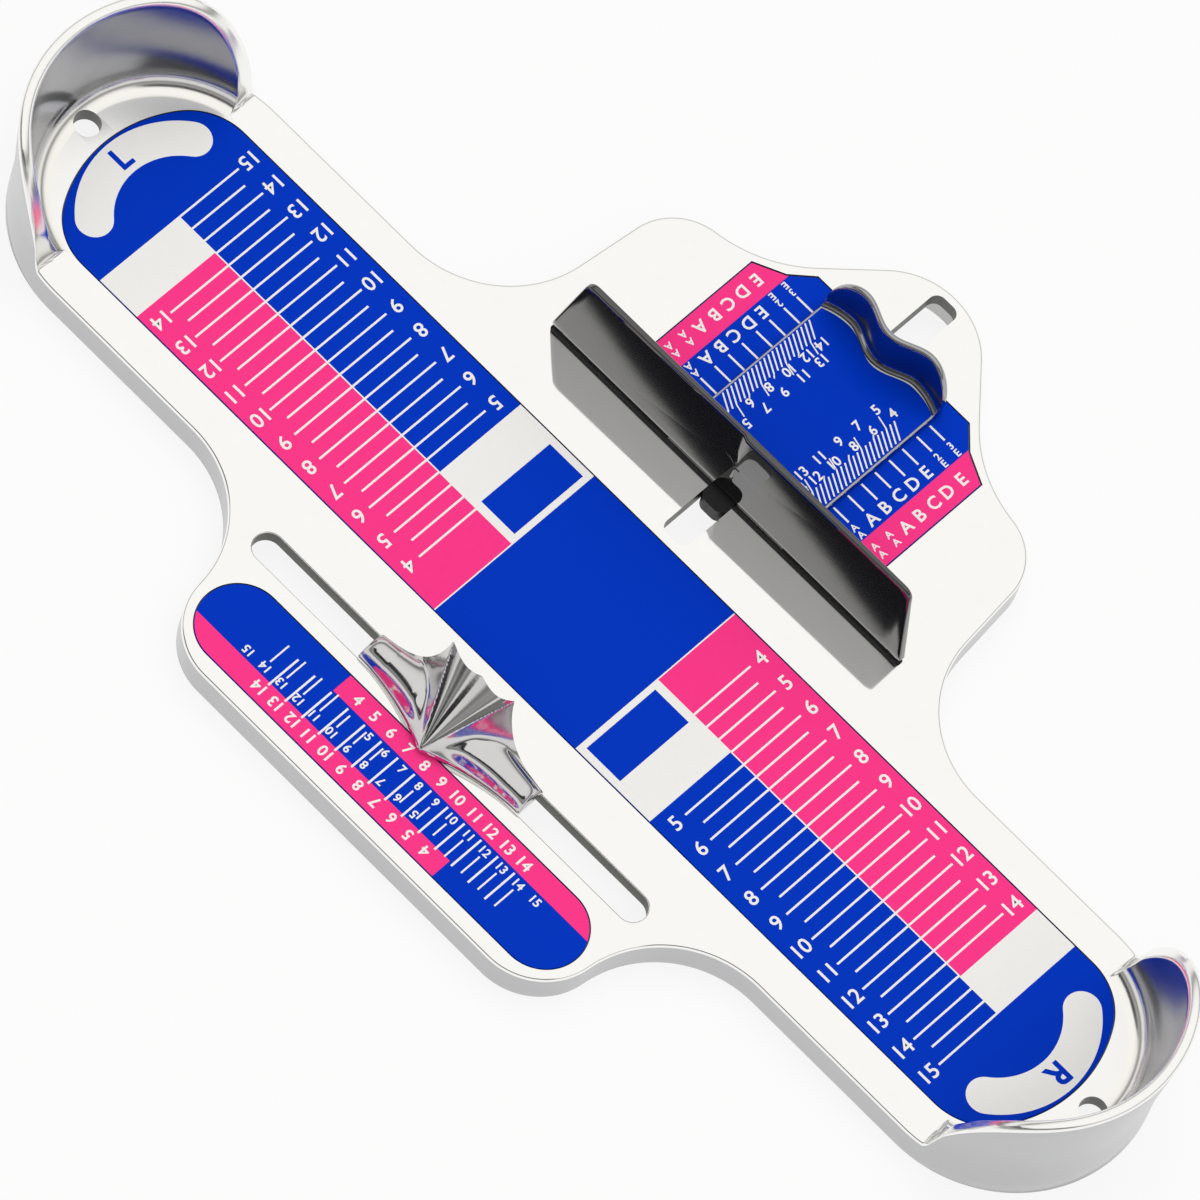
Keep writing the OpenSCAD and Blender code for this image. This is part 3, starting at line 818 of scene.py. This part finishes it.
def write(solid, text, at, height, angle, z, bold=BOLD):
    """Text with its middle at a point, turned by angle degrees."""
    a = radians(angle)
    c = cos(a)
    s = sin(a)

    def move(p):
        x = p[0] * height
        y = p[1] * height
        return (at[0] + x * c - y * s, at[1] + x * s + y * c, z + INK * (p[2] + 0.5))

    solid.add(glyph(text, bold), move)


def both_halves(draw, middle_y=0.0):
    """Draws half a scale twice: as it is, and by half a turn about (0, middle_y)."""
    half = Solid()
    draw(half)
    solid = Solid()
    solid.add(half)
    solid.add(half, lambda p: (-p[0], 2 * middle_y - p[1], p[2]))
    return solid


# ---- length plate

INCH = 25.4
SIZES_PER_INCH = 3
SIZE_ZERO = 22  # sizes from the heel to size 0
HEEL_X = 175.57  # inside of a heel cup
SCALE_BOLD = 0.012
SCALE_TEXT = 4.0

CAP_X = -137.7  # the white end cap goes from here to BAND_X
BAND_X = -125.3
INNER_X = -23.9
EDGE_Y = 26.9
DIVIDER_LOW = -0.75  # white line between the bands
DIVIDER_HIGH = -0.4
CAP_LINE_Y = 19.4
CAP_LINE = 0.5
INNER_LINE = 0.35
# The white area round its blue panel: x0, y0, x1, y1
WHITE_AREAS = ((-48.7, DIVIDER_HIGH, -36.7, EDGE_Y), (-36.7, DIVIDER_HIGH, -25.4, 1.6),
               (-36.7, 24.9, -25.4, EDGE_Y), (-25.4, DIVIDER_HIGH, INNER_X, EDGE_Y))

HEEL_LABEL = (-136.5, 0)
LABEL_OUT_R = 26.4
LABEL_IN_R = 17.0
LABEL_SPREAD = 50  # degrees to each side
HEEL_TEXT = 6.0
HEEL_TEXT_X = 158.2
HEEL_BOLD = 0.03


def men_x(size):
    return HEEL_X - INCH * (SIZE_ZERO + size) / SIZES_PER_INCH


def women_x(size):
    return men_x(size - 1)


def band_pink(solid):
    patch(solid, rectangle(BAND_X, -EDGE_Y, INNER_X, DIVIDER_LOW), TOP)


def band_white(solid):
    """End cap, frame, divider and the lines at both ends."""
    patch(solid, rectangle(CAP_X, -EDGE_Y, BAND_X, DIVIDER_LOW), TOP)
    for corners in WHITE_AREAS:
        patch(solid, rectangle(*corners), TOP)
    patch(solid, rectangle(CAP_X, DIVIDER_LOW, INNER_X, DIVIDER_HIGH), TOP)
    line(solid, (CAP_X, -EDGE_Y), (CAP_X, CAP_LINE_Y), CAP_LINE, TOP + OVER / 2)
    line(solid, (INNER_X, -EDGE_Y), (INNER_X, EDGE_Y), INNER_LINE, TOP + OVER / 2)


def crescent(solid):
    """The white label at the heel end of a scale."""
    middle = (LABEL_OUT_R + LABEL_IN_R) / 2
    r = (LABEL_OUT_R - LABEL_IN_R) / 2
    first = 180 - LABEL_SPREAD
    last = 180 + LABEL_SPREAD
    points = arc(HEEL_LABEL, LABEL_OUT_R, first, last, 3)
    points += arc(polar(HEEL_LABEL, middle, last), r, last, last + 180, 12)[1:-1]
    points += arc(HEEL_LABEL, LABEL_IN_R, last, first, 3)
    points += arc(polar(HEEL_LABEL, middle, first), r, first - 180, first, 12)[1:-1]
    patch(solid, points, TOP)


def scale_row(solid, first, last, x_of, start, whole_end, half_end, text_y, z):
    """Lines at whole and half sizes, with numbers at the whole ones."""
    for k in range(2 * first, 2 * last + 1):
        whole = k % 2 == 0
        x = x_of(k / 2)
        line(solid, (x, start), (x, whole_end if whole else half_end), LINE, z)
        if whole:
            write(solid, str(k // 2), (x, text_y), SCALE_TEXT, -90, z, SCALE_BOLD)


def scale_lines(solid):
    z = TOP + OVER
    scale_row(solid, 5, 15, men_x, -0.5, 19.3, 17.4, 22.6, z)
    scale_row(solid, 4, 14, women_x, -0.6, -20.0, -18.3, -23.4, z + INK)


def heel_letters():
    solid = Solid()
    for text, side in (("L", -1), ("R", 1)):
        write(solid, text, (side * HEEL_TEXT_X, 0), HEEL_TEXT, -90 * side, TOP + INK, HEEL_BOLD)
    return solid


piece("length_plate", prism(scale_outline(), PLATE_LOW, TOP, PLATE_EDGE), [BLUE], "base",
      ["length_scale_plate"])
piece("length_plate_pink_bands", both_halves(band_pink), [PINK], "base")
piece("length_plate_white_areas", both_halves(band_white), [WHITE], "base")
piece("length_plate_heel_labels", both_halves(crescent), [WHITE], "base")
piece("length_plate_letters", heel_letters(), [BLUE], "base")
piece("length_plate_scale", both_halves(scale_lines), [WHITE], "base")


# ---- arch scale plate

ARCH_STEP = 5.6  # from number to number
ARCH_X = -19
BAND_R = 10.9
BAND_START = (-24.7, -60)
BAND_CENTRE_X = 51
SHORT_LINE = 0.45
LARGE_TEXT = 3.0
SMALL_TEXT = 2.3


def arch_band(solid):
    """Pink band along the far side of the arch scale plate."""
    low = degrees(asin((BAND_START[1] - ARCH_Y) / BAND_R))
    patch(solid, [BAND_START, *arc((BAND_CENTRE_X, ARCH_Y), BAND_R, low, 90),
                  (BAND_START[0], ARCH_Y + BAND_R)], TOP)


def arch_marks(solid):
    """Two rows of numbers, and the short lines below the smaller row."""
    for k in range(11):
        write(solid, str(k + 4), (ARCH_X + ARCH_STEP * k, -57.2), LARGE_TEXT, 0, TOP + INK)
        write(solid, str(k + 5), (-10.6 + ARCH_STEP * k, -62.0), SMALL_TEXT, 0, TOP + OVER)
    for k in range(4, 11):
        x = -16.2 + ARCH_STEP * k
        line(solid, (x, -63.9), (x, -68.4 if k < 7 else -70.2), SHORT_LINE, TOP + OVER)


def arch_ticks(solid):
    for k in range(-3, 11):
        x = ARCH_X + ARCH_STEP * k
        line(solid, (x, -70.7), (x, -60.6), LINE, TOP + 2 * OVER)


arch_print = both_halves(arch_marks, ARCH_Y)
arch_ticks(arch_print)
piece("arch_plate", prism(stadium(*ARCH_PLATE, ARCH_Y), PLATE_LOW, TOP, PLATE_EDGE), [BLUE], "base",
      ["arch_scale_plate"])
piece("arch_plate_pink_bands", both_halves(arch_band, ARCH_Y), [PINK], "base")
piece("arch_plate_scale", arch_print, [WHITE], "base")


# ---- width letter plates

PLATE_INNER_X = 4.3
STRIP = [(30.6, 49.1), (38.9, 49.1), (38.9, 96.45), (31, 100.4), (30.6, 100.75)]
# Rows of letters with their y, and the x of a single letter and of a pair
LINE_ROW = (("3E", 98.3), ("2E", 93.8), ("E", 88.8), ("D", 84.2), ("C", 79.3),
            ("B", 74.6), ("A", 69.9), ("AA", 65.0), ("AA", 60.2))
LINE_ROW_X = (28.0, (26.9, 29.3))
STRIP_ROW = (("E", 94.0), ("D", 89.0), ("C", 84.3), ("B", 79.5), ("A", 74.7), ("AA", 70.0),
             ("AA", 65.2))
STRIP_ROW_X = (34.9, (33.6, 36.2))
LINE_START = 19.9
LINE_END = 25.3
PAIR_LINE_END = 25.0  # beside the pairs on the right
LETTER_TEXT = 3.4
PAIR_TEXT = 2.0


def letters(solid, text, y, places, side, z):
    """One letter, or two small ones, read from the slot's side."""
    single, pair = places
    if len(text) == 1:
        write(solid, text, (side * single, y), LETTER_TEXT, 90 * side, z)
        return
    for character, x in zip(text, pair):
        write(solid, character, (side * x, y), PAIR_TEXT, 90 * side, z)


def letter_marks(solid, side, pair_line_end):
    """Letters and lines of the plate on one side of the slot."""
    z = TOP + OVER
    for text, y in LINE_ROW:
        end = LINE_END if len(text) == 1 else pair_line_end
        line(solid, (side * LINE_START, y), (side * end, y), LINE, z)
        letters(solid, text, y, LINE_ROW_X, side, z)
    for text, y in STRIP_ROW:
        letters(solid, text, y, STRIP_ROW_X, side, z + INK)


letter_plates = Solid()
letter_strips = Solid()
letter_print = Solid()
for flip in (list, mirrored):
    letter_plates.add(prism(flip(letter_side(PLATE_INNER_X)), PLATE_LOW, TOP, PLATE_EDGE))
    patch(letter_strips, flip(STRIP), TOP)
letter_marks(letter_print, 1, PAIR_LINE_END)
letter_marks(letter_print, -1, LINE_END)
piece("letter_plates", letter_plates, [BLUE], "base", ["width_letter_plate"])
piece("letter_plate_pink_strips", letter_strips, [PINK], "base")
piece("letter_plate_letters", letter_print, [WHITE], "base")


# ---- width slider

BAR_Y = 47  # front face of the bar
HALF_W = 19.4
SLIDER_FRONT = 0.9  # behind the bar's face
SLIDER_EDGE = 0.25
END_STEPS = (0.0, 0.08, 0.25)
SLIDER_STEPS = 40
SOFT_SHARP = 40
TAB_Y = 105
TAB_DIP = 3.4  # how far it comes in at the middle
TAB_DRAW_IN = 2  # and at its ends
HUMP_X = 11
TAB_H = 14
TAB_END_H = 3
TAB_T = 1.8
TAB_FILLET = 3.2
FILLET_SHARE = 0.55
FLAT_END = 6


def tab_face(x):
    """y of the tab's outer face."""
    x = abs(x)
    if x < HUMP_X:
        return TAB_Y - TAB_DIP * (1 + cos(pi * x / HUMP_X)) / 2
    return TAB_Y - TAB_DRAW_IN * ((x - HUMP_X) / (HALF_W - HUMP_X)) ** 2


def tab_rim(x):
    """Height of the tab's rim."""
    x = abs(x)
    if x < HUMP_X:
        return SLIDER_TOP + TAB_H
    t = (x - HUMP_X) / (HALF_W - HUMP_X)
    return SLIDER_TOP + TAB_END_H + (TAB_H - TAB_END_H) * sqrt(max(0, 1 - t * t))


def slider_section(x, shrink):
    """Profile across the slider at x: (y, z), from its lower front edge over the tab."""
    face = tab_face(x) - shrink
    rim = tab_rim(x) - shrink
    low = SLIDE_Z + shrink
    top = SLIDER_TOP - shrink
    wall = face - TAB_T + shrink
    front = BAR_Y + SLIDER_FRONT + shrink
    e = SLIDER_EDGE
    profile = [(front + e, low), (front, low + e), (front, top - e), (front + e, top)]
    profile += [(front + e + (wall - FLAT_END - front - e) * i / 6, top) for i in range(1, 7)]
    r = min(TAB_FILLET, FILLET_SHARE * (rim - top))
    profile += [(wall - r + r * sin(a), top + r - r * cos(a))
                for a in [pi / 2 * i / 10 for i in range(11)]]
    t = (face - wall) / 2
    start = top + r
    profile += [(wall, start + (rim - t - start) * i / 5) for i in range(1, 6)]
    profile += [(wall + t - t * cos(a), rim - t + t * sin(a))
                for a in [pi * i / 10 for i in range(1, 11)]]
    profile += [(face, rim - t + (low + e - rim + t) * i / 6) for i in range(1, 7)]
    profile += [(face - e, low)]
    return profile


def build_slider():
    solid = Solid()
    e = SLIDER_EDGE
    n = SLIDER_STEPS
    inner = [(HALF_W - e) * sin(pi / 2 * i / n) for i in range(1 - n, n)]
    stations = ([-HALF_W + step for step in END_STEPS] + inner
                + [HALF_W - step for step in reversed(END_STEPS)])
    rings = []
    for x in stations:
        depth = HALF_W - abs(x)
        shrink = e - sqrt(max(0, e ** 2 - (e - min(e, depth)) ** 2))
        rings.append(solid.loop([(x, y, z) for y, z in slider_section(x, shrink)]))
    solid.close(rings)
    return solid


piece("width_slider_tab", build_slider(), [SLIDER_METAL], "width_gauge",
      ["width_slider"], sharp=SOFT_SHARP)


# ---- slider's label

LABEL_HALF = 18.8
LABEL_FRONT = 57
LABEL_BACK = 0.6  # from the tab's inner face
LABEL_TOP = SLIDER_TOP + 0.3
LABEL_EDGE = 0.08
LABEL_STEPS = 60
LABEL_MIDDLE = 77  # the label's halves turn about it
LABEL_TEXT = 2.7
# Number, x, y
LABEL_NUMBERS = ((4, 12.2, 92.6), (6, 12.2, 85.7), (8, 12.2, 79.2), (10, 12.2, 72.6), (12, 12.0, 66.4),
                 (5, 8.9, 90.2), (7, 8.9, 83.8), (9, 8.9, 77.3), (11, 8.9, 70.7), (13, 8.9, 64.6),
                 (14, 12.0, 61.4))
GUIDES = 22  # slanting lines, the first at GUIDE_Y
GUIDE_Y = 59.0
GUIDE_STEP = 1.42
GUIDE_RISE = 2.6
LEADER_RISE = 3.4
GUIDE_OUT_X = 18.5
GUIDE_IN_X = 13.9
LEADER_X = (13.0, 10.6)
GUIDE_LINE = 0.42
LEADER_LINE = 0.35


def label_outline():
    xs = [-HALF_W + 2 * HALF_W * i / LABEL_STEPS for i in range(LABEL_STEPS + 1)]
    return [(LABEL_HALF, LABEL_FRONT), (-LABEL_HALF, LABEL_FRONT)] + [
        (x * (LABEL_HALF / HALF_W), tab_face(x) - TAB_T - LABEL_BACK) for x in xs]


def label_marks(solid):
    """Numbers and guide lines on the right-hand edge of the slider's label."""
    z = LABEL_TOP
    for number, x, y in LABEL_NUMBERS:
        write(solid, str(number), (x, y), LABEL_TEXT, 90, z)
    for i in range(GUIDES):
        y = GUIDE_Y + GUIDE_STEP * i
        line(solid, (GUIDE_OUT_X, y), (GUIDE_IN_X, y + GUIDE_RISE), GUIDE_LINE, z)
        if i % 3 == 1:
            line(solid, (GUIDE_IN_X, y + GUIDE_RISE), (LEADER_X[i % 2], y + LEADER_RISE), LEADER_LINE, z)


piece("slider_label", prism(label_outline(), SLIDER_TOP, LABEL_TOP, LABEL_EDGE), [BLUE], "width_gauge",
      ["width_scale_label"])
piece("slider_label_scale", both_halves(label_marks, LABEL_MIDDLE), [WHITE], "width_gauge")


# ---- width bar

BAR_Z = SLIDE_Z + 0.1
BAR_T = 2.6
BAR_H = 26.8
BAR_LENGTH = 118
BAR_TOP_LENGTH = 109
BAR_R = 3.0
BAR_EDGE = 0.7
BAR_FOOT = (-17.1, 47.6, 17.1, 56)
BAR_FOOT_T = 2
BAR_FOOT_EDGE = 0.5
BAR_STEP = 1.5
LEAN = radians(3)
MATT_EDGE = 1.6  # height of the matt lower edge
MATT_FACE = 1
TWIST = 0.8
TWIST_EDGE = 6
ROLL_H = 2.4  # below it the face rolls back by ROLL_T
ROLL_T = 1.6
LEAST_BAR_T = 0.72
FACE_EDGE = 0.3  # flat rim round the face
FACE_RINGS = (0.03, 0.2, 0.4, 0.6, 0.7, 0.76, 0.8, 0.83, 0.86, 0.89, 0.92, 0.95, 0.98)
EDGE_RINGS = 4


def bar_outline():
    """Outline of the blade, with points along its edges so that the face can bend."""
    side = [(BAR_LENGTH / 2 - 1, 0), (BAR_LENGTH / 2, 1)]
    side += arc((BAR_TOP_LENGTH / 2 - BAR_R, BAR_H - BAR_R), BAR_R, 10, 90, 8)
    outline = clean(side + mirrored(side))
    fine = []
    for i, (x, y) in enumerate(outline):
        nx, ny = outline[(i + 1) % len(outline)]
        n = max(1, int(dist((x, y), (nx, ny)) / BAR_STEP))
        fine += [(x + (nx - x) * k / n, y + (ny - y) * k / n) for k in range(n)]
    return fine


def bar_place(u, v, depth):
    """A point of the bar: along it, up its face, and back into it."""
    return (u, BAR_Y + v * sin(LEAN) + depth * cos(LEAN),
            BAR_Z + v * cos(LEAN) - depth * sin(LEAN))


def bar_hollow(u, v):
    """How far the front face falls back; each wing is slightly twisted, as moulded."""
    span = BAR_LENGTH / 2
    across = (u + span) / span if u < 0 else u / span
    edge = smoothstep(0, TWIST_EDGE, span - abs(u))
    foot = min(1, max(0, (ROLL_H - v) / ROLL_H))
    return (TWIST * edge * (0.5 * (v / BAR_H) ** 2 + across * v / BAR_H)
            + ROLL_T * (1 - sqrt(1 - foot * foot)))


def face_ring(outline, inset, depth, shrink=1.0):
    """Points of the front face, or of its rounded edge."""
    middle = BAR_H / 2
    points = []
    for u, v in shifted(outline, -inset):
        u *= shrink
        v = middle + (v - middle) * shrink
        points.append(bar_place(u, v, min(depth + bar_hollow(u, v), BAR_T - LEAST_BAR_T)))
    return points


def build_bar():
    """The blade, by rings from the middle of its face round its edge to its back."""
    solid = Solid()
    outline = bar_outline()
    r = BAR_EDGE
    rings = [face_ring(outline, r + FACE_EDGE, 0.0, shrink) for shrink in FACE_RINGS]
    for i in range(EDGE_RINGS + 1):
        a = pi / 2 * i / EDGE_RINGS
        rings.append(face_ring(outline, r * (1 - sin(a)), r * (1 - cos(a))))
    for i in range(EDGE_RINGS + 1):
        a = pi / 2 * (1 - i / EDGE_RINGS)
        depth = BAR_T - r * (1 - cos(a))
        rings.append([bar_place(u, v, depth) for u, v in shifted(outline, -r * (1 - sin(a)))])
    solid.close([solid.loop(ring) for ring in rings])
    for i, face in enumerate(solid.faces):
        if sum(solid.points[p][2] for p in face) / len(face) < BAR_Z + MATT_EDGE:
            solid.materials[i] = MATT_FACE
    return solid


bar = build_bar()
bar.add(prism(rectangle(*BAR_FOOT), SLIDER_TOP, SLIDER_TOP + BAR_FOOT_T, BAR_FOOT_EDGE))
piece("width_bar_blade", bar, [GLOSS_BLACK, NYLON], "width_gauge", ["width_bar"],
      sharp=SOFT_SHARP)


# ---- arch slider

ARCH_HALF = 27.0
SLOT_Y = 45.5  # these y are measured towards the front
TIP_Y = 56.0
BACK_Y = 38.4
ARM_W = 8.2
FRONT_Y = -SLOT_Y - ARM_W / 2
TIP_POWER = 1.9
PEAK_X = 10.3
PEAK_H = 21.0
KEEL_H = 18.0  # between the peaks
TIP_H = 1.6
RIDGE_POWER = 0.95
SCOOP = 3.7  # depth of the two scoops
SCOOP_POWER = 0.8
FLANK = 4.8  # reach of the ridges' outer flanks
ARM_H = 5.0
ARM_GAIN = 3.2  # more height in the middle
ARM_SWELL = 0.6
SWELL_X = 20
ARM_DOME = 2.2
FRONT_SLOPE = 3.0
END_ROUND = 3
END_SHARE = 0.6
MIDDLE_SHARE = 0.25  # of the bar's height left under the wedge
MIDDLE_X = 9
BAR_BLEND = 1.4
WEDGE_BLEND = 1.2
BLEND_GAIN = 0.2  # height that the wedge's blend adds
THIN = 0.8
ARCH_STEPS = 120
ARCH_COUNT = 64
ARCH_LIP = 0.4
ARCH_LIP_H = 0.2
ARCH_SHARP = 50


def arch_front(x):
    return FRONT_Y - (TIP_Y + FRONT_Y) * (1 - abs(x) / ARCH_HALF) ** TIP_POWER


def arch_back(x):
    t = max(0, (abs(x) - PEAK_X) / (ARCH_HALF - PEAK_X))
    return -BACK_Y - (SLOT_Y - ARM_W / 2 - BACK_Y) * sqrt(t)


def smooth_max(a, b, k):
    return (a + b + sqrt((a - b) ** 2 + k * k)) / 2


def wedge_height(x, y):
    """Two scoops between a keel and two ridges that run from the tip to the peaks."""
    q = min(1, max(0, (y + TIP_Y) / (TIP_Y - BACK_Y)))
    ridge_x = max(0.05, PEAK_X * q)
    ridge = TIP_H + (PEAK_H - TIP_H) * q ** RIDGE_POWER
    u = x / ridge_x
    if u >= 1:
        return 1 + (ridge - 1) * exp((ridge_x - x) / FLANK)
    keel = TIP_H + (KEEL_H - TIP_H) * q
    return keel + (ridge - keel) * u - SCOOP * sin(pi * u) * q ** SCOOP_POWER


def arm_height(x, y, s):
    """Rounded bar whose ends are the arms; s goes from 0 at its front to 1 at its back."""
    swell = ARM_SWELL * sin(pi * min(1, x / SWELL_X))
    top = ARM_H + ARM_GAIN * (1 - x / ARCH_HALF) + swell
    side = 1 + FRONT_SLOPE * max(0, min(y - arch_front(x), arch_back(x) - y))
    dome = top - ARM_DOME * (2 * s - 1) ** 2
    end = max(0, (x - ARCH_HALF + END_ROUND) / END_ROUND)
    height = side + dome - smooth_max(side, dome, BAR_BLEND)
    height *= ((END_SHARE + (1 - END_SHARE) * sqrt(1 - end * end))
               * (MIDDLE_SHARE + (1 - MIDDLE_SHARE) * smoothstep(0, MIDDLE_X, x)))
    return height


def arch_height(x, y, s):
    """Height of the slider's upper side above the plate."""
    x = abs(x)
    both = smooth_max(arm_height(x, y, s), wedge_height(x, y), WEDGE_BLEND) - BLEND_GAIN
    return min(PEAK_H, max(THIN, both))


def build_arch_slider():
    solid = Solid()
    rings = []
    for i in range(-ARCH_STEPS, ARCH_STEPS + 1):
        x = ARCH_HALF * i / ARCH_STEPS
        front = arch_front(x)
        back = arch_back(x)
        profile = [(front + ARCH_LIP, SLIDE_Z), (front, SLIDE_Z + ARCH_LIP_H)]
        for j in range(ARCH_COUNT + 1):
            s = j / ARCH_COUNT
            y = front + (back - front) * s
            profile.append((y, TOP + arch_height(x, y, s)))
        profile.append((back, SLIDE_Z))
        rings.append(solid.loop([(x, y, z) for y, z in profile]))
    solid.close(rings)
    return solid


piece("arch_pointer", build_arch_slider(), [CAST_METAL], "arch_gauge",
      ["arch_slider"], sharp=ARCH_SHARP)


# ---- CAD pieces shown as they are, with a finish

CLAMP = {"guide_block": NYLON, "friction_spring": SPRING, "retainer": STEEL, "screws": STEEL,
         "washers": STEEL, "lock_washers": SPRING}
FINISHES = {f"{side}_{part}": finish for side in ("width", "arch") for part, finish in CLAMP.items()}
FINISHES["width_bar_rivets"] = STEEL
for name, finish in FINISHES.items():
    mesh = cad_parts[name].data
    mesh.materials.clear()
    mesh.materials.append(finish)


# ---- room, light

# Brightness of the room, by the ray's height from 0 to 1
ROOM = ((0.0, 0.96), (0.29, 0.90), (0.36, 0.24), (0.48, 0.30), (0.62, 0.88), (0.8, 1.0), (1.0, 1.0))
WARM = (1.0, 0.995, 0.975)
# Where the dark flag in front fades in, by the ray's y and height
FLAG_SIDE = (-0.16, -0.20)
FLAG_TOP = (0.808, 0.802)
FLAG_FOOT = (0.50, 0.66)
FLAG_COLOR = (0.03, 0.03, 0.035, 1)

FLOOR_HALF = 3  # metres
FLOOR_Z = -0.0003
FLOOR_COLOR = (0.86, 0.86, 0.86, 1)
FLOOR_GLOW = 0.85  # share of white that camera, mirrors and glass see

SENSOR = 36
FOCAL_PIXELS = 13366.0198
FRAME_PIXELS = 1200
CLIP_END = 20
CAMERA_TURN = Vector((2.44866481, 1.06427439, -0.0334629317))  # axis times angle
CAMERA_SHIFT = Vector((-3.60388963, 2.75518301, 3159.28379))


def area_light(name, size, at, power):
    """Lamp that shines on the device and isn't seen in mirrors."""
    data = bpy.data.lights.new(name, "AREA")
    data.shape = "RECTANGLE"
    data.size, data.size_y = size
    data.energy = power
    obj = new_object(name, data)
    obj.location = at
    obj.rotation_euler = (-Vector(at)).to_track_quat("-Z", "Y").to_euler()
    obj.visible_glossy = False


def build_world():
    """Pale backdrop, grey walls above it, white ceiling and one dark flag in front."""
    world = bpy.data.worlds.new("studio")
    bpy.context.scene.world = world
    world.use_nodes = True
    tree = world.node_tree
    tree.nodes.clear()
    where = add(tree, "ShaderNodeTexCoord", {}, "Generated")
    split = add(tree, "ShaderNodeSeparateXYZ", {"Vector": where}).node
    y, z = split.outputs["Y"], split.outputs["Z"]
    room = add(tree, "ShaderNodeValToRGB", {"Fac": z}, "Color")
    elements = room.node.color_ramp.elements
    while len(elements) < len(ROOM):
        elements.new(0.5)
    for element, (height, brightness) in zip(elements, ROOM):
        element.position = height
        element.color = (*[c * brightness for c in WARM], 1)
    upright = add_math(tree, "MULTIPLY", add_range(tree, z, *FLAG_TOP), add_range(tree, z, *FLAG_FOOT))
    dark = add_math(tree, "MULTIPLY", add_range(tree, y, *FLAG_SIDE), upright)
    color = add_mix(tree, dark, room, FLAG_COLOR)
    sky = add(tree, "ShaderNodeBackground", {"Color": color})
    out = tree.nodes.new("ShaderNodeOutputWorld")
    tree.links.new(sky, out.inputs["Surface"])


def floor_material():
    """Takes a shadow, but camera, mirrors and glass see it nearly white."""
    mat = bpy.data.materials.new("studio_floor")
    mat.use_nodes = True
    tree = mat.node_tree
    shader = tree.nodes["Principled BSDF"]
    shader.inputs["Base Color"].default_value = FLOOR_COLOR
    shader.inputs["Roughness"].default_value = 0.9
    shader.inputs["Specular IOR Level"].default_value = 0.0
    glow = add(tree, "ShaderNodeEmission", {"Color": (1, 1, 1, 1), "Strength": 1.0})
    rays = tree.nodes.new("ShaderNodeLightPath").outputs
    either = add_math(tree, "MAXIMUM", rays["Is Camera Ray"], rays["Is Glossy Ray"])
    any_of = add_math(tree, "MAXIMUM", either, rays["Is Transmission Ray"])
    share = add_math(tree, "MULTIPLY", any_of, FLOOR_GLOW)
    seen = add(tree, "ShaderNodeMixShader", {0: share, 1: shader.outputs[0], 2: glow})
    tree.links.new(seen, tree.nodes["Material Output"].inputs["Surface"])
    return mat


def build_floor():
    mesh = bpy.data.meshes.new("floor")
    corners = rectangle(-FLOOR_HALF, -FLOOR_HALF, FLOOR_HALF, FLOOR_HALF)
    mesh.from_pydata([(x, y, 0) for x, y in corners], [], [(0, 1, 2, 3)])
    floor = new_object("floor", mesh)
    floor.location.z = FLOOR_Z
    mesh.materials.append(floor_material())


def build_camera():
    """The camera that was fitted to the photo."""
    data = bpy.data.cameras.new("camera")
    data.sensor_width = SENSOR
    data.lens = FOCAL_PIXELS / FRAME_PIXELS * SENSOR
    data.clip_end = CLIP_END
    camera = new_object("camera", data)
    rows = Quaternion(CAMERA_TURN.normalized(), CAMERA_TURN.length).to_matrix()
    at = -(rows.transposed() @ CAMERA_SHIFT)
    matrix = Matrix((rows[0], -rows[1], -rows[2])).transposed().to_4x4()
    matrix.translation = place((at.x, at.y, at.z + TOP))
    camera.matrix_world = matrix
    bpy.context.scene.camera = camera


for name in ("Cube", "Light", "Camera"):
    if name in bpy.data.objects:
        bpy.data.objects.remove(bpy.data.objects[name])

build_world()
build_floor()
build_camera()
area_light("key", (2.4, 2.4), (-0.5, 0.9, 3.0), 26)
area_light("fill", (2.0, 1.4), (1.6, -1.4, 2.2), 10)

bpy.context.scene.view_settings.view_transform = "Standard"
